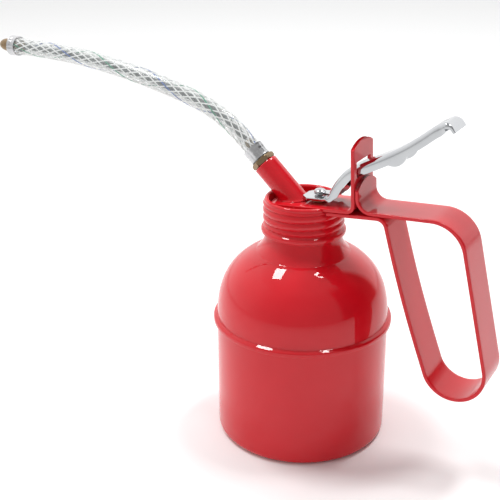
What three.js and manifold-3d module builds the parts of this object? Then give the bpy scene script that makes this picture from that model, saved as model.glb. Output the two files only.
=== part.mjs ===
// A hand oil can with a lever pump in its screw cap, a strap handle and a flexible spout.
// Millimetres, +Z up. The origin is the centre of the flat base; the spout points along -X and the
// handle along +X, and Y = 0 is the plane that halves the handle, the lever and the spout.
import * as THREE from "three";
import { mergeVertices } from "three/addons/utils/BufferGeometryUtils.js";
import Module from "manifold-3d";

const wasm = await Module();
wasm.setup();

// ---------------------------------------------------------------- driving dimensions

const GAP = 0.3; // between pieces that touch
const SLIP = 0.25; // round a piece that slides in another

const CAN_RADIUS = 50.5;
const CAN_WALL = 0.8;
const BASE_BEND = 4.2;
const CUP_HEIGHT = 72.4;
const BEAD_HEIGHT = 3.8;
const BEAD_PROUD = 1.0;
const DOME_HEIGHT = 40.5; // from the bead to where the shoulder starts to sweep up into the neck
const DOME_SHAPE = 3.17; // exponent of the dome's outline, 2 is an ellipse
const DOME_FULLNESS = 53.7; // from that outline's foot to where it would reach the axis
const DOME_FOOT_DROP = 4.8; // of that outline's foot below the seam
const SHOULDER_SWEEP = 13; // height of the hollow curve between shoulder and neck
const NECK_LENGTH = 14.7;

const CAP_RADIUS = 22.4; // in the valleys of its rolled thread
const CAP_WALL = 0.7;
const CAP_RING_RADIUS = 24.4;
const CAP_RING_HEIGHT = 3.6;
const RING_FLARE = 0.5; // how far the ring's mouth opens to clear the can's shoulder
const THREAD_PITCH = 4.5;
const THREAD_DEPTH = 0.55;
const THREAD_TURNS = 3;
const RIM_WIDTH = 2.6;
const RIM_ROLL = 2.9; // height of the rolled rim above the gasket's seat
const GASKET_THICKNESS = 1.1;
const RECESS_DEPTH = 5.4;

const PLATE_THICKNESS = 2;
const PLATE_WIDTH = 25.6;
const PLATE_FRONT = -16.4; // x of its front end
const PLATE_SLOPE = 0.0928; // it rises towards the handle to clear the rim
const PLATE_FRONT_CORNER = 4;
const UPRIGHT_X = 35.8; // middle of the sheet at the foot of the upright
const UPRIGHT_TOP_X = 34.2;
const UPRIGHT_HEIGHT = 38.8;
const UPRIGHT_CROWN = 4;
const UPRIGHT_BEND = 4;
const SLOT_FOOT = 18.6; // height of the slot's lower edge above the foot
const SLOT_HEIGHT = 9;
const SLOT_WIDTH = 18.4;

const STRAP_THICKNESS = 2;
const STRAP_WIDTH = 25;
const STRAP_TAB_RISE = 17; // of the welded tab above the top run
const STRAP_TAB_CROWN = 5;
const STRAP_BEND = 8;
const TOP_RUN_RISE = 0.5; // of the top run over the foot of the upright
const TOP_RUN_SLOPE = 0.067;
const REAR_CORNER_REACH = 59.9; // from the upright to the corner where the strap turns down
const REAR_CORNER_BEND = 19;
const LOOP_REACH = 62.5; // from the upright to the centre of the round bottom
const LOOP_DROP = 80.7; // from the foot of the upright to that centre
const LOOP_BEND = 17.2;
const FRONT_CORNER_REACH = 18.1; // from the upright to the corner of the lower end
const FRONT_CORNER_BEND = 5.5;
const FRONT_LEG_BOW = 1.2; // how far the front leg bows forward of a straight line

const SPOUT_DIAMETER = 14.3;
const SPOUT_WALL = 2.2;
const SPOUT_X = -6.1; // where its axis meets the plate
const SPOUT_LENGTH = 26;
const SPOUT_ANGLE = 43.1; // degrees above level
const HEXAGON_FLATS = 12.8;
const HEXAGON_THICKNESS = 3.2;
const ADAPTER_STUB = 9;
const BARB_DIAMETER = 5;
const BARB_LENGTH = 13;
const HOSE_DIAMETER = 10.9;
const HOSE_BORE = 6.2;
const FERRULE_WALL = 0.55;
const FERRULE_LENGTH = 8;
const TIP_FERRULE_LENGTH = 5;
const NOZZLE_COLLAR = 8.2;
const NOZZLE_COLLAR_LENGTH = 4.2;
const NOZZLE_LENGTH = 10.4;
const NOZZLE_BORE = 1.6;

const PUMP_X = 10; // the pump stands off the can's axis, behind the spout
const ROD_DIAMETER = 3;
const BARREL_DIAMETER = 15.2;
const BARREL_WALL = 0.8;
const BARREL_LENGTH = 58;
const PUMP_HEAD_HEIGHT = 18;
const PUMP_HEAD_RADIUS = 19.2;
const BARREL_SOCKET = 6;
const CHAMBER_HEIGHT = 8;
const CHAMBER_RADIUS = 6;
const PORT_RADIUS = 1.4;
const VALVE_X = -7;
const VALVE_RADIUS = 3.1;
const VALVE_BALL = 2.4;
const VALVE_SEAT = 8.6; // depth of the delivery seat below the top of the pump head
const GLAND_RADIUS = 3.1;
const GLAND_FLANGE = 5;
const INLET_BALL = 2.6;
const INLET_PORT = 1.9;
const FOOT_SPIGOT = 11;
const SUCTION_DIAMETER = 8.6;
const SUCTION_WALL = 0.8;
const SUCTION_CLEARANCE = 8; // between the strainer and the can's bottom
const STRAINER_HEIGHT = 13;
const SPRING_RADIUS = 4.6;
const SPRING_WIRE = 1.1;
const SPRING_TURNS = 8;

const LEVER_WIDTH = 16.5;
const LEVER_SHEET = 1.2;
const LEVER_FLANGE = 5.8; // depth of the channel's side walls
const TAB_LIFT = 3.85; // of the tab's top over the plate's top
const TAB_FRONT = 1.3; // x of its front edge
const TAB_CHAMFER = 4.2;
const TAB_SLOT = 3.4; // how far the rod's hole runs on towards the handle
const HEAD_RADIUS = 3.3;
const HEAD_HEIGHT = 2.3;
const WASHER_THICKNESS = 0.5;
const HEAD_PLAY = 0.62; // between the tab and the washer when the lever is at rest

// ---------------------------------------------------------------- shared levels

const SEAM = CUP_HEIGHT - 1;
const SHOULDER = SEAM + BEAD_HEIGHT + DOME_HEIGHT - 1;
const NECK_BASE = SHOULDER + SHOULDER_SWEEP;
const NECK_TOP = NECK_BASE + NECK_LENGTH;
const NECK_OUTER = CAP_RADIUS - CAP_WALL - GAP;
const NECK_INNER = NECK_OUTER - CAP_WALL;
const RECESS_RADIUS = NECK_INNER - GAP - CAP_WALL;
const GASKET_BASE = NECK_TOP + GAP;
const CROWN_INSIDE = GASKET_BASE + GASKET_THICKNESS + GAP;
const RIM_TOP = CROWN_INSIDE + RIM_ROLL;
const PANEL_TOP = RIM_TOP - RECESS_DEPTH;
const PUMP_TOP = PANEL_TOP - CAP_WALL - GAP;

const plateMiddle = (x) => PANEL_TOP + GAP + PLATE_THICKNESS / 2 + PLATE_SLOPE * (x - PLATE_FRONT);
const plateTop = (x) => plateMiddle(x) + PLATE_THICKNESS / 2;
const FOOT = plateMiddle(UPRIGHT_X);
const SLOT_BOTTOM = FOOT + SLOT_FOOT;
const LEAN = (UPRIGHT_X - UPRIGHT_TOP_X) / UPRIGHT_HEIGHT;
const uprightMiddle = (z) => UPRIGHT_X - LEAN * (z - FOOT);

const SPOUT_DIRECTION = new THREE.Vector3(
  -Math.cos(THREE.MathUtils.degToRad(SPOUT_ANGLE)),
  0,
  Math.sin(THREE.MathUtils.degToRad(SPOUT_ANGLE)),
);
const SPOUT_FOOT = new THREE.Vector3(SPOUT_X, 0, plateTop(SPOUT_X));
const alongSpout = (distance) => SPOUT_FOOT.clone().addScaledVector(SPOUT_DIRECTION, distance);

// ---------------------------------------------------------------- materials

const enamel = () => new THREE.MeshStandardMaterial({ color: 0xc8202f, roughness: 0.25, metalness: 0.1 });
const chrome = () => new THREE.MeshStandardMaterial({ color: 0xd8dade, roughness: 0.12, metalness: 1 });
const brass = () => new THREE.MeshStandardMaterial({ color: 0xb08c5a, roughness: 0.35, metalness: 1 });
const aluminium = () => new THREE.MeshStandardMaterial({ color: 0xd0d2d4, roughness: 0.35, metalness: 1 });
const steel = () => new THREE.MeshStandardMaterial({ color: 0x9a9da1, roughness: 0.4, metalness: 1 });
const clearPlastic = () => new THREE.MeshStandardMaterial({ color: 0xdfe6e4, roughness: 0.2, metalness: 0 });
const rubber = () => new THREE.MeshStandardMaterial({ color: 0x222222, roughness: 0.8, metalness: 0 });

// ---------------------------------------------------------------- tools

const part = new THREE.Group();

function add(name, shape, material) {
  const geometry = shape.isBufferGeometry ? shape : toGeometry(shape);
  const mesh = new THREE.Mesh(geometry, material);
  mesh.name = name;
  part.add(mesh);
  return mesh;
}

// A closed geometry as a manifold-3d solid.
function toSolid(geometry) {
  const bare = geometry.index ? geometry.toNonIndexed() : geometry.clone();
  for (const name of Object.keys(bare.attributes)) {
    if (name !== "position") bare.deleteAttribute(name);
  }
  const merged = mergeVertices(bare, 1e-4);
  return new wasm.Manifold(
    new wasm.Mesh({
      numProp: 3,
      vertProperties: new Float32Array(merged.attributes.position.array),
      triVerts: new Uint32Array(merged.index.array),
    }),
  );
}

// A solid back as a geometry that three.js draws.
function toGeometry(solid) {
  const { vertProperties, triVerts } = solid.getMesh();
  const geometry = new THREE.BufferGeometry();
  geometry.setAttribute("position", new THREE.BufferAttribute(new Float32Array(vertProperties), 3));
  geometry.setIndex(new THREE.BufferAttribute(new Uint32Array(triVerts), 1));
  geometry.computeVertexNormals();
  return geometry;
}

// Turns an outline of [radius, height] points about the Z axis. The outline runs anticlockwise, and
// starts and ends on the axis, or closes on itself when `ring` is true.
function turned(outline, sides, ring = false) {
  const points = outline.map(([radius, height]) => new THREE.Vector2(radius, height));
  if (ring) points.push(points[0].clone());
  return new THREE.LatheGeometry(points, sides).rotateX(Math.PI / 2);
}

// A tube with square ends, standing on the XY plane's level `from`.
function pipe(outer, inner, from, to, sides = 24) {
  return turned([[inner, from], [outer, from], [outer, to], [inner, to]], sides, true);
}

// A plain rod between two levels.
function rod(radius, from, to, sides = 24) {
  return turned([[0, from], [radius, from], [radius, to], [0, to]], sides);
}

// A box from its two corners.
function box(low, high) {
  const size = new THREE.Vector3(...high).sub(new THREE.Vector3(...low));
  const middle = new THREE.Vector3(...high).add(new THREE.Vector3(...low)).multiplyScalar(0.5);
  return new THREE.BoxGeometry(size.x, size.y, size.z).translate(middle.x, middle.y, middle.z);
}

// A side view drawn in X and Z, given its width along Y about the middle plane.
function sideProfile(points, width, middle = 0) {
  const shape = new THREE.Shape(points);
  return new THREE.ExtrudeGeometry(shape, { depth: width, bevelEnabled: false })
    .rotateX(Math.PI / 2)
    .translate(0, middle + width / 2, 0);
}

// A front view drawn in Y and Z, carried along X from `from` to `to`.
function frontProfile(points, from, to) {
  const shape = new THREE.Shape(points);
  return new THREE.ExtrudeGeometry(shape, { depth: to - from, bevelEnabled: false })
    .applyMatrix4(new THREE.Matrix4().set(0, 0, 1, from, 1, 0, 0, 0, 0, 1, 0, 0, 0, 0, 0, 1));
}

// A plan drawn in X and Y, carried up from one level to another.
function planProfile(points, from, to) {
  const shape = new THREE.Shape(points);
  return new THREE.ExtrudeGeometry(shape, { depth: to - from, bevelEnabled: false }).translate(0, 0, from);
}

const point = (x, y) => new THREE.Vector2(x, y);

// The line through the corners, each rounded with its own radius: corners are [x, z, radius].
function roundedLine(corners, stepDegrees = 12) {
  const line = [];
  corners.forEach(([x, z, radius = 0], index) => {
    const corner = point(x, z);
    if (!radius) {
      line.push(corner);
      return;
    }
    const before = point(...corners[index - 1]).sub(corner).normalize();
    const after = point(...corners[index + 1]).sub(corner).normalize();
    const half = Math.acos(THREE.MathUtils.clamp(before.dot(after), -1, 1)) / 2;
    const bisector = before.clone().add(after).normalize();
    const centre = corner.clone().addScaledVector(bisector, radius / Math.sin(half));
    const start = corner.clone().addScaledVector(before, radius / Math.tan(half)).sub(centre);
    const sweep = (Math.PI - 2 * half) * Math.sign(-before.cross(after));
    const steps = Math.max(2, Math.ceil(Math.abs(THREE.MathUtils.radToDeg(sweep)) / stepDegrees));
    for (let step = 0; step <= steps; step += 1) {
      line.push(start.clone().rotateAround(point(0, 0), (sweep * step) / steps).add(centre));
    }
  });
  return line;
}

// The outline of a sheet of one thickness that follows a line.
function sheetOutline(line, thickness) {
  const sides = line.map((here, index) => {
    const before = line[Math.max(0, index - 1)];
    const after = line[Math.min(line.length - 1, index + 1)];
    const into = here.clone().sub(before).normalize();
    const out = after.clone().sub(here).normalize();
    const direction = into.add(out).normalize();
    const straight = index ? here.clone().sub(before).normalize() : direction;
    const stretch = 1 / Math.max(0.5, direction.dot(straight));
    const normal = point(-direction.y, direction.x).multiplyScalar((thickness / 2) * stretch);
    return [here.clone().add(normal), here.clone().sub(normal)];
  });
  return [...sides.map(([left]) => left), ...sides.map(([, right]) => right).reverse()];
}

// The top of a strip seen from the front, arched by `crown` over its width.
function crownedStrip(width, bottom, top, crown) {
  const radius = (width * width / 4 + crown * crown) / (2 * crown);
  const half = Math.asin(width / 2 / radius);
  const arch = [];
  const steps = 10;
  for (let step = 0; step <= steps; step += 1) {
    const angle = half - (2 * half * step) / steps;
    arch.push(point(radius * Math.sin(angle), top - radius + radius * Math.cos(angle)));
  }
  return [point(-width / 2, bottom), point(width / 2, bottom), ...arch];
}

const cut = (body, ...tools) => tools.reduce((rest, tool) => rest.subtract(toSolid(tool)), body);

// ---------------------------------------------------------------- the can

const BODY_SIDES = 40;

function domeRadius(height) {
  const share = Math.max(0, (height - SEAM + DOME_FOOT_DROP) / DOME_FULLNESS);
  return CAN_RADIUS * Math.sqrt(1 - share ** DOME_SHAPE);
}

function domeOutline(inset) {
  const start = SEAM + BEAD_HEIGHT;
  const steps = inset ? 6 : 8;
  const outline = [];
  for (let step = 0; step <= steps; step += 1) {
    const height = start + (SHOULDER - start) * Math.sin((Math.PI / 2) * (step / steps));
    outline.push([domeRadius(height) - inset, height - inset * 0.5 * (step / steps)]);
  }
  const sweep = new THREE.QuadraticBezierCurve(
    point(...outline[steps]),
    point(NECK_OUTER - inset + 0.7, SHOULDER + SHOULDER_SWEEP * 0.38),
    point(NECK_OUTER - inset, NECK_BASE),
  );
  sweep.getPoints(inset ? 3 : 5).slice(1).forEach(({ x, y }) => outline.push([x, y]));
  return outline;
}

function buildCan() {
  const bend = 3;
  const corner = (radius, inset) => {
    const points = [];
    for (let step = 0; step <= bend; step += 1) {
      const angle = (Math.PI / 2) * (step / bend);
      points.push([CAN_RADIUS - BASE_BEND + radius * Math.sin(angle), BASE_BEND - radius * Math.cos(angle)]);
    }
    return inset ? points.reverse() : points;
  };
  const cup = [
    [0, 0],
    ...corner(BASE_BEND, false),
    [CAN_RADIUS, CUP_HEIGHT],
    [CAN_RADIUS - CAN_WALL, CUP_HEIGHT],
    ...corner(BASE_BEND - CAN_WALL, true),
    [0, CAN_WALL],
  ];
  add("can_cup", turned(cup, BODY_SIDES), enamel());

  const lap = CAN_RADIUS + GAP;
  const crest = lap + CAN_WALL + BEAD_PROUD;
  const outer = domeOutline(0);
  const inner = domeOutline(CAN_WALL).reverse();
  const dome = [
    [lap, SEAM],
    [crest - 0.5, SEAM],
    [crest, SEAM + BEAD_HEIGHT * 0.3],
    [crest, SEAM + BEAD_HEIGHT * 0.62],
    [crest - 0.7, SEAM + BEAD_HEIGHT * 0.92],
    ...outer,
    [NECK_OUTER, NECK_TOP],
    [NECK_INNER, NECK_TOP],
    ...inner.slice(0, -1),
    [CAN_RADIUS - CAN_WALL, CUP_HEIGHT + GAP + 1.2],
    [CAN_RADIUS - CAN_WALL, CUP_HEIGHT + GAP],
    [lap, CUP_HEIGHT + GAP],
  ];
  add("can_dome", turned(dome, BODY_SIDES, true), enamel());
}

// ---------------------------------------------------------------- the screw cap

const CAP_BASE = NECK_BASE - 1.4;

function capSkirt() {
  const start = CAP_BASE + CAP_RING_HEIGHT + 1.4;
  const steps = THREAD_TURNS * 4;
  const outline = [];
  for (let step = 0; step <= steps; step += 1) {
    const bulge = step % 4 === 2 ? THREAD_DEPTH : step % 2 ? THREAD_DEPTH * 0.7 : 0;
    outline.push([CAP_RADIUS + bulge, start + (THREAD_PITCH * step) / 4]);
  }
  return outline;
}

function buildCap() {
  const roll = RIM_WIDTH / 2;
  const rimMiddle = CAP_RADIUS - roll;
  const outline = [
    [0, PANEL_TOP - CAP_WALL],
    [RECESS_RADIUS + CAP_WALL, PANEL_TOP - CAP_WALL],
    [RECESS_RADIUS + CAP_WALL, CROWN_INSIDE],
    [CAP_RADIUS - CAP_WALL, CROWN_INSIDE],
    [CAP_RADIUS - CAP_WALL, CAP_BASE + 1.6],
    [CAP_RADIUS - CAP_WALL + RING_FLARE, CAP_BASE],
    [CAP_RING_RADIUS - 0.9, CAP_BASE],
    [CAP_RING_RADIUS, CAP_BASE + 1],
    [CAP_RING_RADIUS, CAP_BASE + CAP_RING_HEIGHT - 1.4],
    [CAP_RING_RADIUS - 0.8, CAP_BASE + CAP_RING_HEIGHT - 0.3],
    ...capSkirt(),
    [CAP_RADIUS + 0.25, RIM_TOP - 2],
    [CAP_RADIUS - 0.2, RIM_TOP - 0.8],
    [rimMiddle + 0.3, RIM_TOP],
    [rimMiddle - 0.4, RIM_TOP],
    [RECESS_RADIUS + 0.2, RIM_TOP - 0.7],
    [RECESS_RADIUS, RIM_TOP - 1.6],
    [RECESS_RADIUS, PANEL_TOP],
    [0, PANEL_TOP],
  ];
  const belowPlate = (x) => plateTop(x) - PLATE_THICKNESS - GAP;
  const relief = sideProfile(
    [
      point(RECESS_RADIUS * 0.5, belowPlate(RECESS_RADIUS * 0.5)),
      point(CAP_RING_RADIUS + 4, belowPlate(CAP_RING_RADIUS + 4)),
      point(CAP_RING_RADIUS + 4, RIM_TOP + 4),
      point(RECESS_RADIUS * 0.5, RIM_TOP + 4),
    ],
    PLATE_WIDTH + 2 * GAP,
  );
  const cap = cut(
    toSolid(turned(outline, BODY_SIDES)),
    relief,
    rod(GLAND_RADIUS + SLIP, PANEL_TOP - 4, PANEL_TOP + 4).translate(PUMP_X, 0, 0),
    rod(VALVE_RADIUS, PANEL_TOP - 4, PANEL_TOP + 4).translate(VALVE_X, 0, 0),
  );
  add("screw_cap", cap, enamel());
  const seal = pipe(NECK_OUTER, NECK_INNER, GASKET_BASE, GASKET_BASE + GASKET_THICKNESS, BODY_SIDES);
  add("cap_gasket", seal, rubber());
}

// ---------------------------------------------------------------- bracket and handle

function buildBracket() {
  const line = roundedLine([
    [PLATE_FRONT, plateMiddle(PLATE_FRONT)],
    [UPRIGHT_X, FOOT, UPRIGHT_BEND],
    [uprightMiddle(FOOT + UPRIGHT_HEIGHT + 2), FOOT + UPRIGHT_HEIGHT + 2],
  ]);
  const sheet = toSolid(sideProfile(sheetOutline(line, PLATE_THICKNESS), PLATE_WIDTH));
  const top = FOOT + UPRIGHT_HEIGHT;
  const face = frontProfile(
    crownedStrip(PLATE_WIDTH, PANEL_TOP - 20, top, UPRIGHT_CROWN),
    PLATE_FRONT - 10,
    UPRIGHT_X + 20,
  );
  const half = PLATE_WIDTH / 2;
  const corner = PLATE_FRONT_CORNER;
  const plan = roundedLine(
    [
      [UPRIGHT_X + 10, -half],
      [UPRIGHT_X + 10, half],
      [PLATE_FRONT, half, corner],
      [PLATE_FRONT, -half, corner],
      [UPRIGHT_X + 10, -half],
    ],
    30,
  );
  const footprint = planProfile(plan.slice(0, -1), PANEL_TOP - 10, top + 10);
  const slot = box(
    [UPRIGHT_TOP_X - 6, -SLOT_WIDTH / 2, SLOT_BOTTOM],
    [UPRIGHT_X + 6, SLOT_WIDTH / 2, SLOT_BOTTOM + SLOT_HEIGHT],
  );
  const bracket = cut(
    sheet.intersect(toSolid(face)).intersect(toSolid(footprint)),
    slot,
    rod(GLAND_RADIUS + SLIP, PANEL_TOP - 4, PANEL_TOP + 20).translate(PUMP_X, 0, 0),
    rod(VALVE_RADIUS, PANEL_TOP - 4, PANEL_TOP + 20).translate(VALVE_X, 0, 0),
  );
  add("fulcrum_bracket", bracket, enamel());
}

// The handle's side view, from its tab behind the upright, round the loop, to its end under the plate.
function handleLine() {
  const tabX = (z) => uprightMiddle(z) + (PLATE_THICKNESS + STRAP_THICKNESS) / 2 + GAP;
  const topRun = FOOT + TOP_RUN_RISE;
  const rear = UPRIGHT_X + REAR_CORNER_REACH;
  const rearZ = topRun + TOP_RUN_SLOPE * (rear - tabX(topRun));
  const loop = point(UPRIGHT_X + LOOP_REACH, FOOT - LOOP_DROP);
  const lower = (x) => plateMiddle(x) - (PLATE_THICKNESS + STRAP_THICKNESS) / 2 - GAP;
  const frontX = UPRIGHT_X + FRONT_CORNER_REACH;
  const front = point(frontX, lower(frontX));
  const legAngle = (corner, side) => {
    const away = corner.clone().sub(loop);
    return away.angle() + side * Math.acos(LOOP_BEND / away.length());
  };
  const rearAngle = legAngle(point(rear, rearZ), -1);
  const frontAngle = legAngle(front, 1);
  const loopPoints = [];
  const steps = 14;
  const from = rearAngle > Math.PI ? rearAngle - 2 * Math.PI : rearAngle;
  const to = frontAngle - 2 * Math.PI;
  for (let step = 0; step <= steps; step += 1) {
    const angle = from + ((to - from) * step) / steps;
    loopPoints.push([loop.x + LOOP_BEND * Math.cos(angle), loop.y + LOOP_BEND * Math.sin(angle)]);
  }
  const legFoot = point(...loopPoints[steps]);
  const legMiddle = front.clone().add(legFoot).multiplyScalar(0.5);
  const legNormal = point(legFoot.y - front.y, front.x - legFoot.x).normalize();
  const bow = legMiddle.addScaledVector(legNormal, FRONT_LEG_BOW);
  const start = CAP_RING_RADIUS - 5;
  const tabTop = topRun + STRAP_TAB_RISE + 2;
  return roundedLine([
    [tabX(tabTop), tabTop],
    [tabX(topRun), topRun, STRAP_BEND],
    [rear, rearZ, REAR_CORNER_BEND],
    ...loopPoints,
    [bow.x, bow.y],
    [front.x, front.y, FRONT_CORNER_BEND],
    [start, lower(start)],
  ], 10);
}

function buildHandle() {
  const strip = toSolid(sideProfile(sheetOutline(handleLine(), STRAP_THICKNESS), STRAP_WIDTH));
  const tabTop = FOOT + TOP_RUN_RISE + STRAP_TAB_RISE;
  const face = frontProfile(
    crownedStrip(STRAP_WIDTH, -20, tabTop, STRAP_TAB_CROWN),
    -CAN_RADIUS,
    UPRIGHT_X + 200,
  );
  const cope = rod(CAP_RADIUS + THREAD_DEPTH + 2 * GAP, NECK_BASE, RIM_TOP + 20, BODY_SIDES);
  add("handle_strap", cut(strip.intersect(toSolid(face)), cope), enamel());
}

// ---------------------------------------------------------------- spout, hose and nozzle

// Lays a shape that was made along +Z so that it runs along the spout from a point on its axis.
function layAlongSpout(geometry, from) {
  const turn = new THREE.Quaternion().setFromUnitVectors(new THREE.Vector3(0, 0, 1), SPOUT_DIRECTION);
  return geometry.applyQuaternion(turn).translate(from.x, from.y, from.z);
}

// Points of the hose's middle line past the hexagon's face, as [along -X, up]: it leaves in line with
// the spout, then bends over under its own weight until it runs level.
const HOSE_ROUTE = [
  [0, 0],
  [5.8, 5.4],
  [11.4, 10.6],
  [16.6, 15.2],
  [22, 19.1],
  [27.8, 22.4],
  [34, 25.4],
  [40.7, 28],
  [47.8, 30.3],
  [55.2, 32.3],
  [62.6, 34.2],
  [69, 35.7],
  [81, 38.4],
  [96.2, 41.1],
  [111.2, 43.4],
  [126.4, 45.1],
  [142.8, 46.2],
  [158.9, 46.8],
  [171, 46.95],
  [181.3, 47],
];

function hosePath() {
  const exit = alongSpout(SPOUT_LENGTH + HEXAGON_THICKNESS + GAP * 2);
  return new THREE.CatmullRomCurve3(
    HOSE_ROUTE.map(([out, up]) => new THREE.Vector3(exit.x - out, 0, exit.z + up)),
    false,
    "centripetal",
  );
}

// A round section, with a round hole where a bore is given.
function roundSection(radius, sides, bore = 0, boreSides = 8) {
  const ring = (r, n) => {
    const points = [];
    for (let step = 0; step < n; step += 1) {
      const angle = (2 * Math.PI * step) / n;
      points.push(point(r * Math.cos(angle), r * Math.sin(angle)));
    }
    return points;
  };
  const shape = new THREE.Shape(ring(radius, sides));
  if (bore) shape.holes.push(new THREE.Path(ring(bore, boreSides)));
  return shape;
}

function buildSpout() {
  const outer = SPOUT_DIAMETER / 2;
  const bore = outer - SPOUT_WALL;
  const tube = toSolid(layAlongSpout(pipe(outer, bore, -16, SPOUT_LENGTH), SPOUT_FOOT));
  const under = sideProfile(
    [
      point(PLATE_FRONT - 60, PANEL_TOP - 60),
      point(UPRIGHT_X, PANEL_TOP - 60),
      point(UPRIGHT_X, plateTop(UPRIGHT_X) + GAP),
      point(PLATE_FRONT - 60, plateTop(PLATE_FRONT - 60) + GAP),
    ],
    80,
  );
  add("spout_tube", cut(tube, under), enamel());
  const eyelet = pipe(VALVE_RADIUS - GAP, VALVE_RADIUS - GAP - 0.8, PUMP_TOP + GAP, plateTop(VALVE_X) + 1.2);
  add("spout_eyelet", eyelet.translate(VALVE_X, 0, 0), brass());

  const stub = bore - SLIP;
  const way = BARB_DIAMETER / 2 - 0.9;
  const corners = [];
  for (let side = 0; side < 6; side += 1) {
    const angle = (Math.PI / 3) * side;
    const reach = HEXAGON_FLATS / Math.sqrt(3);
    corners.push(point(reach * Math.cos(angle), reach * Math.sin(angle)));
  }
  const barbRise = (2 * BARB_LENGTH) / 9;
  const barb = [[0, 0.1]];
  barb.push([BARB_DIAMETER / 2 - 0.3, 0.1]);
  for (let ridge = 0; ridge < 3; ridge += 1) {
    const level = HEXAGON_THICKNESS + 3.5 + ridge * barbRise;
    barb.push([BARB_DIAMETER / 2 - 0.3, level]);
    barb.push([BARB_DIAMETER / 2, level + 0.2]);
    barb.push([BARB_DIAMETER / 2 - 0.3, level + barbRise - 0.4]);
  }
  barb.push([BARB_DIAMETER / 2 - 0.5, HEXAGON_THICKNESS + BARB_LENGTH]);
  barb.push([0, HEXAGON_THICKNESS + BARB_LENGTH]);
  const adapter = cut(
    toSolid(planProfile(corners, 0, HEXAGON_THICKNESS))
      .add(toSolid(turned(barb, 20)))
      .add(toSolid(rod(stub, -ADAPTER_STUB, 0.2))),
    rod(way, -ADAPTER_STUB - 2, HEXAGON_THICKNESS + BARB_LENGTH + 2, 16),
  );
  add("hose_adapter", layAlongSpout(toGeometry(adapter), alongSpout(SPOUT_LENGTH + GAP)), brass());
}

function buildHose() {
  const path = hosePath();
  const steps = 40;
  const section = roundSection(HOSE_DIAMETER / 2, 10, HOSE_BORE / 2, 6);
  const hose = new THREE.ExtrudeGeometry(section, { steps, extrudePath: path, bevelEnabled: false });
  add("hose", hose, clearPlastic());

  const inner = HOSE_DIAMETER / 2 + GAP;
  const ferrule = pipe(inner + FERRULE_WALL, inner, GAP, FERRULE_LENGTH);
  add("hose_ferrule", layAlongSpout(ferrule, path.getPoint(0)), aluminium());

  const end = path.getPoint(1);
  const out = path.getTangent(1);
  const turn = new THREE.Quaternion().setFromUnitVectors(new THREE.Vector3(0, 0, 1), out);
  const atTip = (geometry) => geometry.applyQuaternion(turn).translate(end.x, end.y, end.z);
  add("tip_ferrule", atTip(pipe(inner + FERRULE_WALL, inner, -TIP_FERRULE_LENGTH, 0.4)), aluminium());

  const barb = BARB_DIAMETER / 2;
  const collar = NOZZLE_COLLAR / 2;
  const coneLength = NOZZLE_LENGTH - NOZZLE_COLLAR_LENGTH;
  const nozzle = turned(
    [
      [NOZZLE_BORE / 2, -9],
      [barb - 0.5, -9],
      [barb, -7.5],
      [barb - 0.4, -7.2],
      [barb, -4.5],
      [barb - 0.4, -4.2],
      [barb - 0.4, GAP],
      [collar, GAP],
      [collar, GAP + NOZZLE_COLLAR_LENGTH],
      [collar * 0.86, NOZZLE_COLLAR_LENGTH + coneLength * 0.42],
      [collar * 0.6, NOZZLE_COLLAR_LENGTH + coneLength * 0.78],
      [NOZZLE_BORE / 2 + 0.5, NOZZLE_LENGTH],
      [NOZZLE_BORE / 2, NOZZLE_LENGTH],
    ],
    20,
    true,
  );
  add("spray_nozzle", atTip(nozzle), brass());
}

// ---------------------------------------------------------------- the pump

const PUMP_BASE = PUMP_TOP - PUMP_HEAD_HEIGHT;
const SOCKET_TOP = PUMP_BASE + BARREL_SOCKET;
const CHAMBER_TOP = SOCKET_TOP + CHAMBER_HEIGHT;
const PORT_LEVEL = SOCKET_TOP + PORT_RADIUS + 0.3;
const BARREL_BORE = BARREL_DIAMETER / 2 - BARREL_WALL;
const BARREL_TOP = SOCKET_TOP - GAP;
const BARREL_FOOT = BARREL_TOP - BARREL_LENGTH;
const SPIGOT_TOP = BARREL_FOOT + FOOT_SPIGOT;
const PISTON_NUT = SPIGOT_TOP + 1;
const PISTON_TOP = PISTON_NUT + 8;
const atPump = (geometry) => geometry.translate(PUMP_X, 0, 0);

function buildPumpHead() {
  const seat = PUMP_TOP - VALVE_SEAT;
  const port = rod(PORT_RADIUS, 0, PUMP_X - VALVE_X - CHAMBER_RADIUS + 1, 16)
    .rotateY(Math.PI / 2)
    .translate(VALVE_X, 0, PORT_LEVEL);
  const head = cut(
    toSolid(rod(PUMP_HEAD_RADIUS, PUMP_BASE, PUMP_TOP, 32)),
    atPump(rod(BARREL_DIAMETER / 2 + GAP, PUMP_BASE - 1, SOCKET_TOP)),
    atPump(rod(CHAMBER_RADIUS, PUMP_BASE, CHAMBER_TOP)),
    atPump(rod(ROD_DIAMETER / 2 + SLIP, CHAMBER_TOP - 1, PUMP_TOP + 1)),
    atPump(rod(GLAND_RADIUS + SLIP, CHAMBER_TOP + 1.5, PUMP_TOP + 1)),
    port,
    rod(PORT_RADIUS, PORT_LEVEL, PUMP_TOP, 16).translate(VALVE_X, 0, 0),
    rod(VALVE_RADIUS, seat, PUMP_TOP + 1).translate(VALVE_X, 0, 0),
  );
  add("pump_head", head, aluminium());

  const ballRest = seat + Math.sqrt(VALVE_BALL ** 2 - PORT_RADIUS ** 2) + 0.2;
  add("delivery_ball", new THREE.SphereGeometry(VALVE_BALL, 14, 10).translate(VALVE_X, 0, ballRest), steel());
  add("delivery_spring", coil(2.3, 0.5, 3, ballRest + VALVE_BALL + 0.5, PUMP_TOP - 0.1, VALVE_X), steel());
}

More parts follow.
